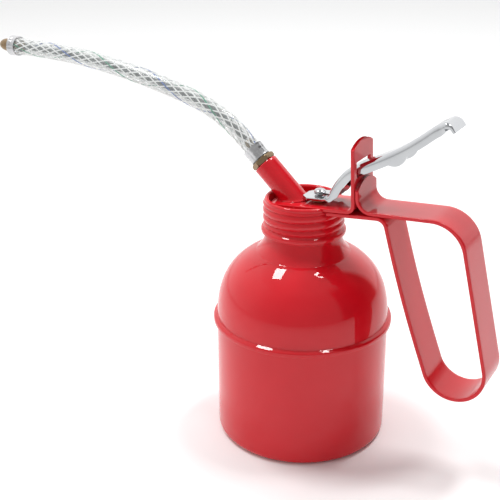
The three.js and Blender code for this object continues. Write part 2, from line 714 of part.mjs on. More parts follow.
// A compression spring on a vertical axis, its wire's middle running from one level to the other.
function coil(radius, wire, turns, from, to, x) {
  const points = [];
  const low = from + wire / 2;
  const high = to - wire / 2;
  const steps = turns * 8;
  for (let step = 0; step <= steps; step += 1) {
    const angle = (2 * Math.PI * turns * step) / steps;
    const level = low + ((high - low) * step) / steps;
    points.push(new THREE.Vector3(x + radius * Math.cos(angle), radius * Math.sin(angle), level));
  }
  const path = new THREE.CatmullRomCurve3(points);
  return new THREE.ExtrudeGeometry(roundSection(wire / 2, 5), {
    steps,
    extrudePath: path,
    bevelEnabled: false,
  });
}

function buildBarrel() {
  add("pump_barrel", atPump(pipe(BARREL_DIAMETER / 2, BARREL_BORE, BARREL_FOOT, BARREL_TOP)), steel());

  const spigot = BARREL_BORE - SLIP;
  const flange = BARREL_DIAMETER / 2 + 0.8;
  const seat = BARREL_FOOT + 1.6;
  const nipple = SUCTION_DIAMETER / 2 - SUCTION_WALL - SLIP;
  const cage = INLET_BALL + 0.8;
  const foot = cut(
    toSolid(
      turned(
        [
          [0, BARREL_FOOT - 10],
          [nipple, BARREL_FOOT - 10],
          [nipple, BARREL_FOOT - 2.4],
          [flange, BARREL_FOOT - 2.4],
          [flange, BARREL_FOOT - GAP],
          [spigot, BARREL_FOOT - GAP],
          [spigot, SPIGOT_TOP],
          [0, SPIGOT_TOP],
        ],
        24,
      ),
    ),
    rod(INLET_PORT, BARREL_FOOT - 12, SPIGOT_TOP, 16),
    rod(cage, seat, SPIGOT_TOP + 1),
    rod(0.8, -20, 20, 12).rotateX(Math.PI / 2).translate(0, 0, SPIGOT_TOP - 1.6),
  );
  add("barrel_foot", atPump(toGeometry(foot)), brass());
  const pin = rod(0.5, -spigot + GAP, spigot - GAP, 10).rotateX(Math.PI / 2);
  add("ball_retainer", atPump(pin.translate(0, 0, SPIGOT_TOP - 1.6)), steel());

  const ballRest = seat + Math.sqrt(INLET_BALL ** 2 - INLET_PORT ** 2) + 0.2;
  add("inlet_ball", atPump(new THREE.SphereGeometry(INLET_BALL, 14, 10).translate(0, 0, ballRest)), steel());

  const tubeFoot = CAN_WALL + SUCTION_CLEARANCE + STRAINER_HEIGHT / 2;
  const outer = SUCTION_DIAMETER / 2;
  const tube = pipe(outer, outer - SUCTION_WALL, tubeFoot, BARREL_FOOT - 2.4 - GAP);
  add("suction_tube", atPump(tube), steel());

  const sleeve = SUCTION_DIAMETER / 2 + GAP;
  const base = CAN_WALL + SUCTION_CLEARANCE;
  const windows = [0, 1, 2].map((turn) =>
    box([-1.4, -sleeve - 3, base + 1.6], [1.4, sleeve + 3, tubeFoot - 1]).rotateZ((Math.PI / 3) * turn),
  );
  const strainer = cut(
    toSolid(
      turned(
        [
          [0, base],
          [sleeve + 0.7, base],
          [sleeve + 0.7, base + STRAINER_HEIGHT],
          [sleeve, base + STRAINER_HEIGHT],
          [sleeve, base + 0.8],
          [0, base + 0.8],
        ],
        24,
      ),
    ),
    ...windows,
  );
  add("strainer", atPump(toGeometry(strainer)), steel());
}

function buildGland() {
  const bore = ROD_DIAMETER / 2 + SLIP;
  const packing = pipe(GLAND_RADIUS, bore, CHAMBER_TOP + 1.5 + GAP, CHAMBER_TOP + 3.3);
  add("rod_packing", atPump(packing), rubber());
  const seat = plateTop(PUMP_X + GLAND_FLANGE) + 0.2;
  const gland = turned(
    [
      [bore, CHAMBER_TOP + 3.3 + GAP],
      [GLAND_RADIUS, CHAMBER_TOP + 3.3 + GAP],
      [GLAND_RADIUS, seat],
      [GLAND_FLANGE, seat],
      [GLAND_FLANGE, seat + 0.7],
      [bore, seat + 0.7],
    ],
    24,
    true,
  );
  add("rod_gland", atPump(gland), brass());
}

function buildPlunger() {
  const radius = ROD_DIAMETER / 2;
  const bore = radius + GAP / 2;
  const wall = BARREL_BORE - SLIP;
  const tabTop = plateTop(PUMP_X) + TAB_LIFT;
  const washer = tabTop + HEAD_PLAY;
  const rodTop = washer + WASHER_THICKNESS + 0.1;
  add("pump_rod", atPump(rod(radius, PISTON_NUT - 0.6, rodTop, 16)), steel());
  const nut = cut(
    toSolid(rod(radius + 1.8, PISTON_NUT, PISTON_NUT + 1.8, 6)),
    rod(bore, PISTON_NUT - 1, PISTON_NUT + 3, 16),
  );
  add("piston_nut", atPump(toGeometry(nut)), brass());
  const cup = turned(
    [
      [bore, PISTON_NUT + 2.1],
      [wall - 0.8, PISTON_NUT + 2.1],
      [wall, PISTON_NUT + 2.9],
      [wall, PISTON_NUT + 4.9],
      [bore, PISTON_NUT + 4.9],
    ],
    24,
    true,
  );
  add("piston_seal", atPump(cup), rubber());
  const passages = [0, 1, 2, 3].map((turn) =>
    rod(0.9, PISTON_NUT, PISTON_TOP + 4, 8).translate(wall * 0.62, 0, 0).rotateZ((Math.PI / 2) * turn),
  );
  const disc = cut(toSolid(pipe(wall, bore, PISTON_NUT + 5.2, PISTON_TOP)), ...passages);
  add("piston", atPump(toGeometry(disc)), brass());
  add("head_washer", atPump(pipe(HEAD_RADIUS, bore, washer, washer + WASHER_THICKNESS)), steel());
  const dome = [[0, rodTop + 0.2]];
  const steps = 5;
  for (let step = 0; step <= steps; step += 1) {
    const angle = (Math.PI / 2) * (step / steps);
    dome.push([HEAD_RADIUS * Math.cos(angle), rodTop + 0.5 + (HEAD_HEIGHT - 0.5) * Math.sin(angle)]);
  }
  dome.splice(1, 0, [HEAD_RADIUS - 0.2, rodTop + 0.2]);
  add("rod_head", atPump(turned(dome, 24)), chrome());
  const spring = coil(SPRING_RADIUS, SPRING_WIRE, SPRING_TURNS, PISTON_TOP + 0.2, CHAMBER_TOP - 0.2, PUMP_X);
  add("return_spring", spring, steel());
}

// ---------------------------------------------------------------- the lever

// The crest of the lever, from the tab up through the slot to the thumb pad, as distances behind and
// above the slot's lower edge. It leaves the tab steeply, eases through the slot and rises again.
const LEVER_CREST = [
  [-17.6, -14.5],
  [-15.8, -10.2],
  [-13.8, -6.2],
  [-10.9, -1.9],
  [-7.3, 2.3],
  [-2.9, 5.4],
  [2.7, 8.2],
  [7.6, 10.7],
  [12.4, 13.3],
  [20.2, 17.9],
  [27.8, 23],
  [33.4, 27.3],
  [44, 35.4],
  [47.6, 37],
  [50.4, 36],
  [53.2, 32.6],
];
const THUMB_UNDERSIDE = [
  [45, 27.9],
  [48.2, 30.2],
  [50.6, 32.2],
];
const EAR_START = 15.4; // of the ears, behind the slot
const EAR_LENGTH = 9.4;
const EAR_DEPTH = 2.4;
const NOTCH_LENGTH = 3.2; // of the flange's notch that rocks on the slot's lower edge
const NOTCH_HEIGHT = 0.8;

function buildLever() {
  const pivotX = uprightMiddle(SLOT_BOTTOM);
  const tab = (x) => plateTop(x) + TAB_LIFT;
  const bendX = pivotX + LEVER_CREST[0][0] - 1.6;
  const crest = new THREE.SplineCurve(LEVER_CREST.map(([x, z]) => point(pivotX + x, SLOT_BOTTOM + z)));
  const line = [point(TAB_FRONT, tab(TAB_FRONT)), point(bendX, tab(bendX)), ...crest.getPoints(34)];

  // The web is the crest line with one sheet below it, and each flange fills the channel's depth.
  const offset = (depth, from, to) =>
    line.slice(from, to).map((here, index) => {
      const place = index + from;
      const before = line[Math.max(0, place - 1)];
      const after = line[Math.min(line.length - 1, place + 1)];
      const direction = after.clone().sub(before).normalize();
      return point(here.x + direction.y * depth, here.y - direction.x * depth);
    });
  const last = line.length;
  const web = sideProfile([...line, ...offset(LEVER_SHEET, 0, last).reverse()], LEVER_WIDTH);

  const thumb = THUMB_UNDERSIDE.map(([x, z]) => point(pivotX + x, SLOT_BOTTOM + z));
  const lower = offset(LEVER_FLANGE, 3, last)
    .filter((here, index) => line[index + 3].x < thumb[0].x - 5)
    .map((here) => {
      const along = (here.x - pivotX - EAR_START) / EAR_LENGTH;
      const inEar = along > 0 && along < 1;
      const drop = inEar ? EAR_DEPTH * Math.sin(Math.PI * along) ** 0.7 : 0;
      return point(here.x + drop * 0.5, here.y - drop * 0.85);
    });
  const toe = point(bendX + 1.4, tab(bendX) - LEVER_SHEET * 0.6);
  const flangeSide = [toe, ...line.slice(2), ...[...lower, ...thumb].reverse()];
  const inside = (LEVER_WIDTH - LEVER_SHEET) / 2;
  const flange = (side) => toSolid(sideProfile(flangeSide, LEVER_SHEET, side * inside));
  const notch = box(
    [pivotX - NOTCH_LENGTH / 2, -LEVER_WIDTH, SLOT_BOTTOM - 5],
    [pivotX + NOTCH_LENGTH / 2, LEVER_WIDTH, SLOT_BOTTOM + NOTCH_HEIGHT],
  );
  const half = LEVER_WIDTH / 2;
  const nose = planProfile(
    [
      point(TAB_FRONT, half - TAB_CHAMFER),
      point(TAB_FRONT, -half + TAB_CHAMFER),
      point(TAB_FRONT + TAB_CHAMFER, -half),
      point(UPRIGHT_X + 90, -half),
      point(UPRIGHT_X + 90, half),
      point(TAB_FRONT + TAB_CHAMFER, half),
    ],
    PANEL_TOP,
    RIM_TOP + 90,
  );
  const hole = ROD_DIAMETER / 2 + 0.4;
  const holeParts = [
    rod(hole, RIM_TOP - 3, RIM_TOP + 8, 16).translate(PUMP_X, 0, 0),
    rod(hole, RIM_TOP - 3, RIM_TOP + 8, 16).translate(PUMP_X + TAB_SLOT, 0, 0),
    box([PUMP_X, -hole, RIM_TOP - 3], [PUMP_X + TAB_SLOT, hole, RIM_TOP + 8]),
  ];
  const lever = cut(
    toSolid(web).add(flange(-1)).add(flange(1)).intersect(toSolid(nose)),
    notch,
    ...holeParts,
  );
  add("lever", lever, chrome());
}

buildCan();
buildCap();
buildBracket();
buildHandle();
buildSpout();
buildHose();
buildPumpHead();
buildBarrel();
buildGland();
buildPlunger();
buildLever();

export default part;
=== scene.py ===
"""The look of the lever oil can: its skins, finishes, hose, studio and camera.

Lengths are in millimetres inside the makers below and become metres when a mesh is written.
"""

import logging
import math
from dataclasses import dataclass, field
from enum import Enum
from typing import Optional, Sequence

import bmesh
import bpy
import numpy as np
from mathutils import Matrix


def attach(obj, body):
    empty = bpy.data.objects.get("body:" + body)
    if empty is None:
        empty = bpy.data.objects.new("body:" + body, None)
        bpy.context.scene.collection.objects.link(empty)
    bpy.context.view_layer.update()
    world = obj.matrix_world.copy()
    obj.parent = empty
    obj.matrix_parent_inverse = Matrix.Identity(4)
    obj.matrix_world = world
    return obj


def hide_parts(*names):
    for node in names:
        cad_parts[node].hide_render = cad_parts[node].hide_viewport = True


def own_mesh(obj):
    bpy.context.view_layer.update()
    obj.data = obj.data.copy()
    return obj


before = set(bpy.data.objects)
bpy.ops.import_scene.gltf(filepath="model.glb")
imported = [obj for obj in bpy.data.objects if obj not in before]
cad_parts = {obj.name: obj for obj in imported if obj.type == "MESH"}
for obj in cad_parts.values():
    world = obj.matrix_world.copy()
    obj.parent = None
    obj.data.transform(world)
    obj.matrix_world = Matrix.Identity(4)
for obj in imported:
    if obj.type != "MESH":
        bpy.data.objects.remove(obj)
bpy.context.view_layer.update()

LOG = logging.getLogger("oil_can")
MM = 0.001
MERGE_GAP = 2e-7
DEGENERATE = 1e-7
Array = np.ndarray


class Body(str, Enum):
    """The moving bodies that the made pieces ride on."""

    CAN = "can"
    HEAD = "head"
    LEVER = "lever"
    PLUNGER = "plunger"


class Slot(str, Enum):
    """The record's material slots that the made pieces belong to."""

    ENAMEL = "red_enamel"
    CHROME = "chrome"
    BRASS = "brass"
    ALUMINIUM = "aluminium"
    STEEL = "steel"
    CLEAR_PVC = "clear_pvc"


# ------------------------------------------------------------------ shader maths


class Wire:
    """One output of a shader graph, with the arithmetic that builds maths nodes."""

    def __init__(self, graph: "Graph", socket: bpy.types.NodeSocket) -> None:
        """Keeps the graph and its socket.

        Args:
            graph: the graph that owns the socket.
            socket: an output socket.
        """
        self.graph = graph
        self.socket = socket

    def _maths(self, kind: str, first: object, second: object) -> "Wire":
        """The output of one maths node of the given kind on two values."""
        return self.graph.add("ShaderNodeMath", {0: first, 1: second}, operation=kind)

    def __add__(self, other: object) -> "Wire":
        """Sum."""
        return self._maths("ADD", self, other)

    __radd__ = __add__

    def __mul__(self, other: object) -> "Wire":
        """Product."""
        return self._maths("MULTIPLY", self, other)

    __rmul__ = __mul__

    def __truediv__(self, other: object) -> "Wire":
        """Quotient."""
        return self._maths("DIVIDE", self, other)

    def __rtruediv__(self, other: object) -> "Wire":
        """Quotient the other way round."""
        return self._maths("DIVIDE", other, self)


class Graph:
    """A node tree with one method that adds any node."""

    def __init__(self, tree: bpy.types.NodeTree) -> None:
        """Clears the tree.

        Args:
            tree: the tree of a material or a world.
        """
        self.tree = tree
        tree.nodes.clear()

    def add(self, kind: str, inputs: Optional[dict] = None, out: object = 0, **settings: object) -> Wire:
        """Adds a node, sets its options and fills or links its inputs.

        Args:
            kind: the node's type.
            inputs: input name or number to a value or a Wire.
            out: the output to hand back, by name or number.
            **settings: options of the node itself.

        Returns:
            The chosen output.
        """
        node = self.tree.nodes.new(kind)
        stops = settings.pop("stops", None)
        for name, value in settings.items():
            setattr(node, name, value)
        if stops:
            self._ramp(node.color_ramp, stops)
        for key, value in (inputs or {}).items():
            if isinstance(value, Wire):
                self.tree.links.new(value.socket, node.inputs[key])
            else:
                node.inputs[key].default_value = value
        return Wire(self, node.outputs[out]) if len(node.outputs) else Wire(self, None)

    @staticmethod
    def _ramp(ramp: bpy.types.ColorRamp, stops: Sequence[tuple[float, float]]) -> None:
        """Sets a ramp's stops.

        Args:
            ramp: the ramp of a Color Ramp node.
            stops: place and grey level of each stop, in rising order.
        """
        ramp.elements[0].position, ramp.elements[1].position = stops[0][0], stops[-1][0]
        for place, _ in stops[1:-1]:
            ramp.elements.new(place)
        for element, (_, level) in zip(ramp.elements, stops):
            element.color = (level, level, level, 1)

    def noise(self, scale: float, detail: float = 3.0, stretch: Sequence[float] = (1, 1, 1)) -> Wire:
        """Noise in the object's own space.

        Args:
            scale: cells per metre.
            detail: octaves.
            stretch: scale along each axis.

        Returns:
            The noise, round 0.5.
        """
        place = self.add("ShaderNodeTexCoord", out="Object")
        turned = self.add("ShaderNodeMapping", {"Vector": place, "Scale": stretch})
        return self.add("ShaderNodeTexNoise", {"Vector": turned, "Scale": scale, "Detail": detail})

    def blend(self, share: object, low: Sequence[float], high: Sequence[float]) -> Wire:
        """Mixes two colours.

        Args:
            share: how much of the second, from 0 to 1.
            low: the first colour, or a Wire.
            high: the second colour, or a Wire.

        Returns:
            The mixed colour.
        """
        low, high = (end if isinstance(end, Wire) else (*end, 1.0) for end in (low, high))
        return self.add("ShaderNodeMix", {0: share, 6: low, 7: high}, out=2, data_type="RGBA")


# ------------------------------------------------------------------ finishes


@dataclass(frozen=True)
class Finish:
    """A surface finish: its slot, its colours, its gloss and the fine relief under it."""

    name: str
    low: tuple[float, float, float]
    high: tuple[float, float, float]
    roughness: float
    metallic: float = 0.0
    coat: float = 0.0
    coat_roughness: float = 0.04
    patch: float = 60.0
    relief: float = 0.0
    relief_scale: float = 900.0
    stretch: tuple[float, float, float] = (1.0, 1.0, 1.0)
    spread: float = 0.06
    alpha: float = 1.0
    specular: float = 0.5
    slot: Optional[Slot] = None

    def material(self) -> bpy.types.Material:
        """Builds the finish, or hands back the one that is already built.

        Returns:
            The material.
        """
        made = bpy.data.materials.get("finish_" + self.name)
        if made:
            return made
        made = bpy.data.materials.new("finish_" + self.name)
        made.use_nodes = True
        graph = Graph(made.node_tree)
        cloud = graph.noise(self.patch, 4.0, self.stretch)
        fine = graph.noise(self.relief_scale, 2.0, self.stretch)
        inputs = {
            "Base Color": graph.blend(cloud, self.low, self.high),
            "Roughness": cloud * self.spread + (self.roughness - self.spread / 2),
            "Metallic": self.metallic,
            "Coat Weight": self.coat,
            "Coat Roughness": self.coat_roughness,
            "Specular IOR Level": self.specular,
            "Alpha": self.alpha,
        }
        if self.relief:
            inputs["Normal"] = graph.add(
                "ShaderNodeBump", {"Height": fine, "Strength": self.relief, "Distance": 0.0002}
            )
        surface = graph.add("ShaderNodeBsdfPrincipled", inputs)
        graph.add("ShaderNodeOutputMaterial", {"Surface": surface})
        return made


ENAMEL = Finish(
    "red_enamel", (0.6, 0.005, 0.013), (0.66, 0.008, 0.018), 0.4, coat=0.8, coat_roughness=0.02,
    relief=0.025, relief_scale=160.0, specular=0.05, slot=Slot.ENAMEL,
)
CHROME = Finish(
    "bright_chrome", (0.46, 0.47, 0.49), (0.58, 0.59, 0.6), 0.07, metallic=1.0, relief=0.03,
    relief_scale=300.0, slot=Slot.CHROME,
)
BRASS = Finish(
    "turned_brass", (0.2, 0.135, 0.075), (0.38, 0.27, 0.16), 0.38, metallic=0.9, relief=0.25,
    relief_scale=1500.0, slot=Slot.BRASS,
)
CRIMP = Finish(
    "crimped_aluminium", (0.42, 0.42, 0.43), (0.72, 0.72, 0.73), 0.28, metallic=1.0, relief=0.35,
    relief_scale=700.0, slot=Slot.ALUMINIUM,
)
STEEL = Finish(
    "plain_steel", (0.4, 0.41, 0.42), (0.56, 0.57, 0.58), 0.34, metallic=1.0, relief=0.1,
    relief_scale=1800.0, slot=Slot.STEEL,
)
CAST = Finish(
    "cast_block", (0.5, 0.5, 0.51), (0.66, 0.66, 0.67), 0.5, metallic=0.9, relief=0.6, relief_scale=2200.0
)
NITRILE = Finish("black_rubber", (0.02, 0.02, 0.02), (0.04, 0.04, 0.04), 0.65, relief=0.4)
YARN = Finish(
    "white_yarn", (0.93, 0.93, 0.93), (0.98, 0.98, 0.98), 0.55, relief=0.5, relief_scale=3000.0,
    slot=Slot.CLEAR_PVC,
)
GREEN_YARN = Finish(
    "green_yarn", (0.03, 0.26, 0.15), (0.06, 0.36, 0.22), 0.5, relief=0.5, slot=Slot.CLEAR_PVC
)
BLUE_YARN = Finish("blue_yarn", (0.03, 0.09, 0.36), (0.06, 0.15, 0.5), 0.5, relief=0.5, slot=Slot.CLEAR_PVC)
CLEAR_WALL = Finish(
    "clear_hose_wall", (0.55, 0.6, 0.58), (0.66, 0.7, 0.68), 0.12, coat=1.0, relief=0.05, alpha=0.23,
    slot=Slot.CLEAR_PVC,
)
# Painted shade: dark grey for the tube that stands in for the darkness seen through the clear wall in the
# hose's hollow bore.
BORE_SHADE = Finish(
    "hose_bore_shade", (0.07, 0.075, 0.085), (0.17, 0.175, 0.19), 0.25, coat=0.6, patch=160.0, slot=Slot.CLEAR_PVC
)
FLOOR = Finish("pale_floor", (0.955, 0.955, 0.955), (0.965, 0.965, 0.965), 0.7)


# ------------------------------------------------------------------ outlines and grids


def arc(centre: Sequence[float], radius: float, start: float, end: float, count: int) -> Array:
    """Points on an arc: the centre plus the radius times cosine and sine of evenly spaced angles.

    Args:
        centre: the arc's centre.
        radius: its radius.
        start: its first angle in degrees.
        end: its last angle in degrees.
        count: how many points.

    Returns:
        An array of points, one row each.
    """
    angle = np.radians(np.linspace(start, end, count))
    return np.stack([centre[0] + radius * np.cos(angle), centre[1] + radius * np.sin(angle)], -1)


def rounded(corners: Sequence[Sequence[float]], step: float = 3.0) -> Array:
    """A line through corners, each one rounded by an arc that touches both of its sides.

    Args:
        corners: x, z and a radius, which may be 0, for each corner.
        step: the angle between an arc's points, in degrees.

    Returns:
        An array of points.
    """
    points = []
    for place, (x, z, radius) in enumerate(corners):
        here = np.array([x, z], float)
        if not radius:
            points.append(here[None])
            continue
        before = np.array(corners[place - 1][:2]) - here
        after = np.array(corners[place + 1][:2]) - here
        before, after = before / np.linalg.norm(before), after / np.linalg.norm(after)
        half = math.acos(np.clip(before @ after, -1, 1)) / 2
        bisector = (before + after) / np.linalg.norm(before + after)
        centre = here + bisector * radius / math.sin(half)
        start = here + before * radius / math.tan(half) - centre
        sweep = (math.pi - 2 * half) * (-1 if before[0] * after[1] - before[1] * after[0] > 0 else 1)
        count = max(3, int(abs(math.degrees(sweep)) / step))
        angle = math.atan2(start[1], start[0]) + np.linspace(0, sweep, count)
        points.append(centre + radius * np.stack([np.cos(angle), np.sin(angle)], -1))
    return np.concatenate(points)


def once_round(sides: int) -> Array:
    """Evenly spaced angles once round a circle, without the last, which is the first again."""
    return np.linspace(0, 2 * np.pi, sides, endpoint=False)


def lengths(line: Array) -> Array:
    """The distance along a line to each of its points."""
    return np.concatenate([[0], np.cumsum(np.linalg.norm(np.diff(line, axis=0), axis=1))])


def resample(line: Array, spacing: float) -> Array:
    """The same line with evenly spaced points, each found by its share of the length.

    Args:
        line: the points.
        spacing: the distance wanted between points.

    Returns:
        The new points.
    """
    along = lengths(line)
    places = np.linspace(0, along[-1], max(2, int(along[-1] / spacing) + 1))
    return np.stack([np.interp(places, along, line[:, axis]) for axis in range(line.shape[1])], -1)


def smooth(points: Sequence[Sequence[float]], per_span: int = 12) -> Array:
    """A smooth curve through points.

    Each span is a cubic whose ends lie on the points, and whose end directions are the average of
    the neighbouring spans' directions, weighted by the distance between points.

    Args:
        points: the points.
        per_span: how many steps each span gets.

    Returns:
        The curve's points.
    """
    knots = np.array(points, float)
    gap = np.diff(lengths(knots))
    slope = np.diff(knots, axis=0) / gap[:, None]
    inner = (slope[:-1] * gap[1:, None] + slope[1:] * gap[:-1, None]) / (gap[:-1] + gap[1:])[:, None]
    tangent = np.concatenate([slope[:1], inner, slope[-1:]])
    share = (np.arange(per_span) / per_span)[None, :, None]
    cube, square = share**3, share**2
    width = gap[:, None, None]
    curve = (
        (2 * cube - 3 * square + 1) * knots[:-1, None]
        + (cube - 2 * square + share) * width * tangent[:-1, None]
        + (3 * square - 2 * cube) * knots[1:, None]
        + (cube - square) * width * tangent[1:, None]
    )
    return np.concatenate([curve.reshape(-1, knots.shape[1]), knots[-1:]])


def ease(value: Array, start: float, end: float) -> Array:
    """Rises from 0 at the start to 1 at the end, with level ends (three squares less two cubes)."""
    share = np.clip((value - start) / (end - start), 0, 1)
    return share * share * (3 - 2 * share)


def quads(rows: int, columns: int, wrap_rows: bool, wrap_columns: bool) -> Array:
    """The faces between neighbouring points of a grid.

    Args:
        rows: points down the grid.
        columns: points across it.
        wrap_rows: whether the last row meets the first.
        wrap_columns: whether the last column meets the first.

    Returns:
        Four point numbers for each face.
    """
    row = np.arange(rows if wrap_rows else rows - 1)[:, None]
    column = np.arange(columns if wrap_columns else columns - 1)[None, :]
    below, beside = (row + 1) % rows, (column + 1) % columns
    here, under = row * columns, below * columns
    faces = [here + column, under + column, under + beside, here + beside]
    return np.stack(np.broadcast_arrays(*faces), -1).reshape(-1, 4)


def merge(mesh: bpy.types.Mesh, gap: float, degenerate: float = 0.0) -> None:
    """Merges a mesh's doubles and turns its faces outwards.

    Args:
        mesh: the mesh.
        gap: the distance in metres under which points are one.
        degenerate: the length in metres under which edges are dissolved, if over 0.
    """
    work = bmesh.new()
    work.from_mesh(mesh)
    bmesh.ops.remove_doubles(work, verts=work.verts, dist=gap)
    if degenerate:
        bmesh.ops.dissolve_degenerate(work, edges=work.edges, dist=degenerate)
    bmesh.ops.recalc_face_normals(work, faces=work.faces)
    work.to_mesh(mesh)
    work.free()


def placed(name: str, data: bpy.types.ID) -> bpy.types.Object:
    """Puts a mesh, lamp or camera into the scene, at the origin.

    Args:
        name: the object's name.
        data: what it shows.

    Returns:
        The object.
    """
    made = bpy.data.objects.new(name, data)
    bpy.context.scene.collection.objects.link(made)
    return made


class Skin:
    """Collects grids of points and writes them as one closed mesh."""

    def __init__(self, name: str) -> None:
        """Starts an empty skin.

        Args:
            name: the name of the piece.
        """
        self.name = name
        self.points: list[Array] = []
        self.faces: list[list[int]] = []
        self.count = 0

    def grid(
        self, points: Array, wrap_rows: bool = False, wrap_columns: bool = False, caps: bool = False
    ) -> "Skin":
        """Adds a grid of points.

        Args:
            points: an array of rows by columns by 3.
            wrap_rows: whether the last row meets the first.
            wrap_columns: whether the last column meets the first.
            caps: whether the first and last rows are closed by a face each.

        Returns:
            The same skin.
        """
        rows, columns = points.shape[:2]
        self.points.append(points.reshape(-1, 3))
        self.faces += (quads(rows, columns, wrap_rows, wrap_columns) + self.count).tolist()
        if caps:
            first = np.arange(columns) + self.count
            self.faces += [first.tolist(), (first + (rows - 1) * columns)[::-1].tolist()]
        self.count += rows * columns
        return self

    def turned(self, outline: Array, sides: int, ring: bool = False, x: float = 0.0) -> "Skin":
        """Turns an outline of radius and height about an upright axis.

        A point is the radius times cosine and sine of the angle, with the height as it is.

        Args:
            outline: radius and height of each point.
            sides: how many steps go round.
            ring: whether the outline closes on itself, and does not meet the axis.
            x: where the axis stands.

        Returns:
            The same skin.
        """
        angle = once_round(sides)[:, None]
        radius, height = outline[None, :, 0], outline[None, :, 1]
        columns = np.broadcast_arrays(x + radius * np.cos(angle), radius * np.sin(angle), height)
        return self.grid(np.stack(columns, -1), True, ring)

    def made(self, sharp: float = 32.0) -> bpy.types.Object:
        """Writes the mesh: its doubles are merged and its faces turned outwards.

        Args:
            sharp: the angle over which an edge stays crisp, in degrees.

        Returns:
            The finished object at the origin.
        """
        mesh = bpy.data.meshes.new(self.name)
        mesh.from_pydata((np.concatenate(self.points) * MM).tolist(), [], self.faces)
        merge(mesh, MERGE_GAP, DEGENERATE)
        mesh.shade_smooth()
        mesh.set_sharp_from_angle(angle=math.radians(sharp))
        return placed(self.name, mesh)


def settle(
    piece: bpy.types.Object, finish: Finish, body: Body, node: Optional[str] = None
) -> bpy.types.Object:
    """Gives a piece its finish and its body, and hides the node that it stands for.

    Args:
        piece: the piece.
        finish: its finish, which knows the record's material slot.
        body: the body that it rides on.
        node: the node that it replaces, if any.

    Returns:
        The same piece.
    """
    piece.data.materials.clear()
    piece.data.materials.append(finish.material())
    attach(piece, body.value)
    finish.slot.value
    if node:
        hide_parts(node)
    LOG.info("made %s: %d faces", piece.name, len(piece.data.polygons))
    return piece


def carve(piece: bpy.types.Object, cutters: Sequence[bpy.types.Object], sharp: float = 32.0) -> None:
    """Cuts shapes out of a piece and keeps the result as its mesh.

    Args:
        piece: the piece to cut.
        cutters: closed shapes, which are deleted afterwards.
        sharp: the angle over which an edge stays crisp, in degrees.
    """
    for cutter in cutters:
        cut = piece.modifiers.new("cut", "BOOLEAN")
        cut.operation, cut.solver, cut.object = "DIFFERENCE", "EXACT", cutter
    seen = piece.evaluated_get(bpy.context.evaluated_depsgraph_get())
    mesh = bpy.data.meshes.new_from_object(seen)
    piece.modifiers.clear()
    piece.data = mesh
    mesh.shade_smooth()
    mesh.set_sharp_from_angle(angle=math.radians(sharp))
    for cutter in cutters:
        bpy.data.objects.remove(cutter)


def block_section(width: float, thickness: float, edge: float, count: int = 5, across: int = 16) -> Array:
    """The section of flat strip with rounded edges.

    Args:
        width: across the strip.
        thickness: of the strip.
        edge: radius of its four edges.
        count: points on each edge's arc.
        across: points along each flat side.

    Returns:
        Across and through distances of each point.
    """
    w, t = width / 2 - edge, thickness / 2 - edge
    flat = np.linspace(-w, w, across)[1:-1]
    top = np.stack([flat[::-1], np.full(across - 2, t + edge)], -1)
    bottom = np.stack([flat, np.full(across - 2, -t - edge)], -1)
    return np.concatenate(
        [
            arc((w, -t), edge, -90, 0, count),
            arc((w, t), edge, 0, 90, count),
            top,
            arc((-w, t), edge, 90, 180, count),
            arc((-w, -t), edge, 180, 270, count),
            bottom,
        ]
    )


def headings(line: Array) -> tuple[Array, Array]:
    """The way a line runs at each of its points, and the normal, which is the way turned a quarter.

    Args:
        line: x and z of each point.

    Returns:
        Two arrays of unit directions.
    """
    way = np.gradient(line, axis=0)
    way /= np.linalg.norm(way, axis=1)[:, None]
    return way, np.stack([-way[:, 1], way[:, 0]], -1)


def carried(line: Array, across: Array, through: Array) -> Array:
    """A section carried along a side view line.

    A point is the line's point, plus the section's through distance along the line's normal in the
    X and Z plane, with the section's across distance as Y.

    Args:
        line: x and z of each point.
        across: across distances of the section, of one row or of a row for each point.
        through: through distances, likewise.

    Returns:
        A grid of points.
    """
    _, normal = headings(line)
    x = line[:, None, 0] + normal[:, None, 0] * through
    z = line[:, None, 1] + normal[:, None, 1] * through
    return np.stack(np.broadcast_arrays(x, across, z), -1)


def wound(line: Array, radius: Array | float, angle: Array) -> Array:
    """Points round a line in the X and Z plane.

    A point is the line's point plus the radius times cosine of the angle along the normal and sine
    of it along Y.

    Args:
        line: x and z of each point.
        radius: the radius, or one for each point of the grid.
        angle: the angle of each column, or of each point of the grid.

    Returns:
        A grid of points.
    """
    return carried(line, radius * np.sin(angle), radius * np.cos(angle))


def touch(corner: Sequence[float], centre: Array, radius: float, side: int) -> float:
    """The angle on a circle at which a line from a corner touches it.

    It is the corner's own angle, plus or minus the one whose cosine is radius over distance.

    Args:
        corner: the corner, outside the circle.
        centre: the circle's centre.
        radius: its radius.
        side: 1 or -1, which of the two lines.

    Returns:
        The angle in degrees.
    """
    away = np.array(corner) - centre
    return math.degrees(math.atan2(away[1], away[0]) + side * math.acos(radius / np.linalg.norm(away)))


def everywhere(part: Sequence[Sequence[float]], sides: int) -> Array:
    """The same outline on each of the sides of a turned shape."""
    return np.broadcast_to(np.asarray(part, float)[None], (sides, len(part), 2))


def standing(across: Array, upward: Array, back: Array, place: Sequence[float]) -> Matrix:
    """The pose of a camera or light from its three directions and its place, as columns.

    Args:
        across: its right-hand direction.
        upward: its upward direction.
        back: the direction from its target to it.
        place: where it stands, in metres.

    Returns:
        The pose.
    """
    pose = np.eye(4)
    pose[:3] = np.stack([across, upward, back, place], -1)
    return Matrix(pose.tolist())


# ------------------------------------------------------------------ shared sizes


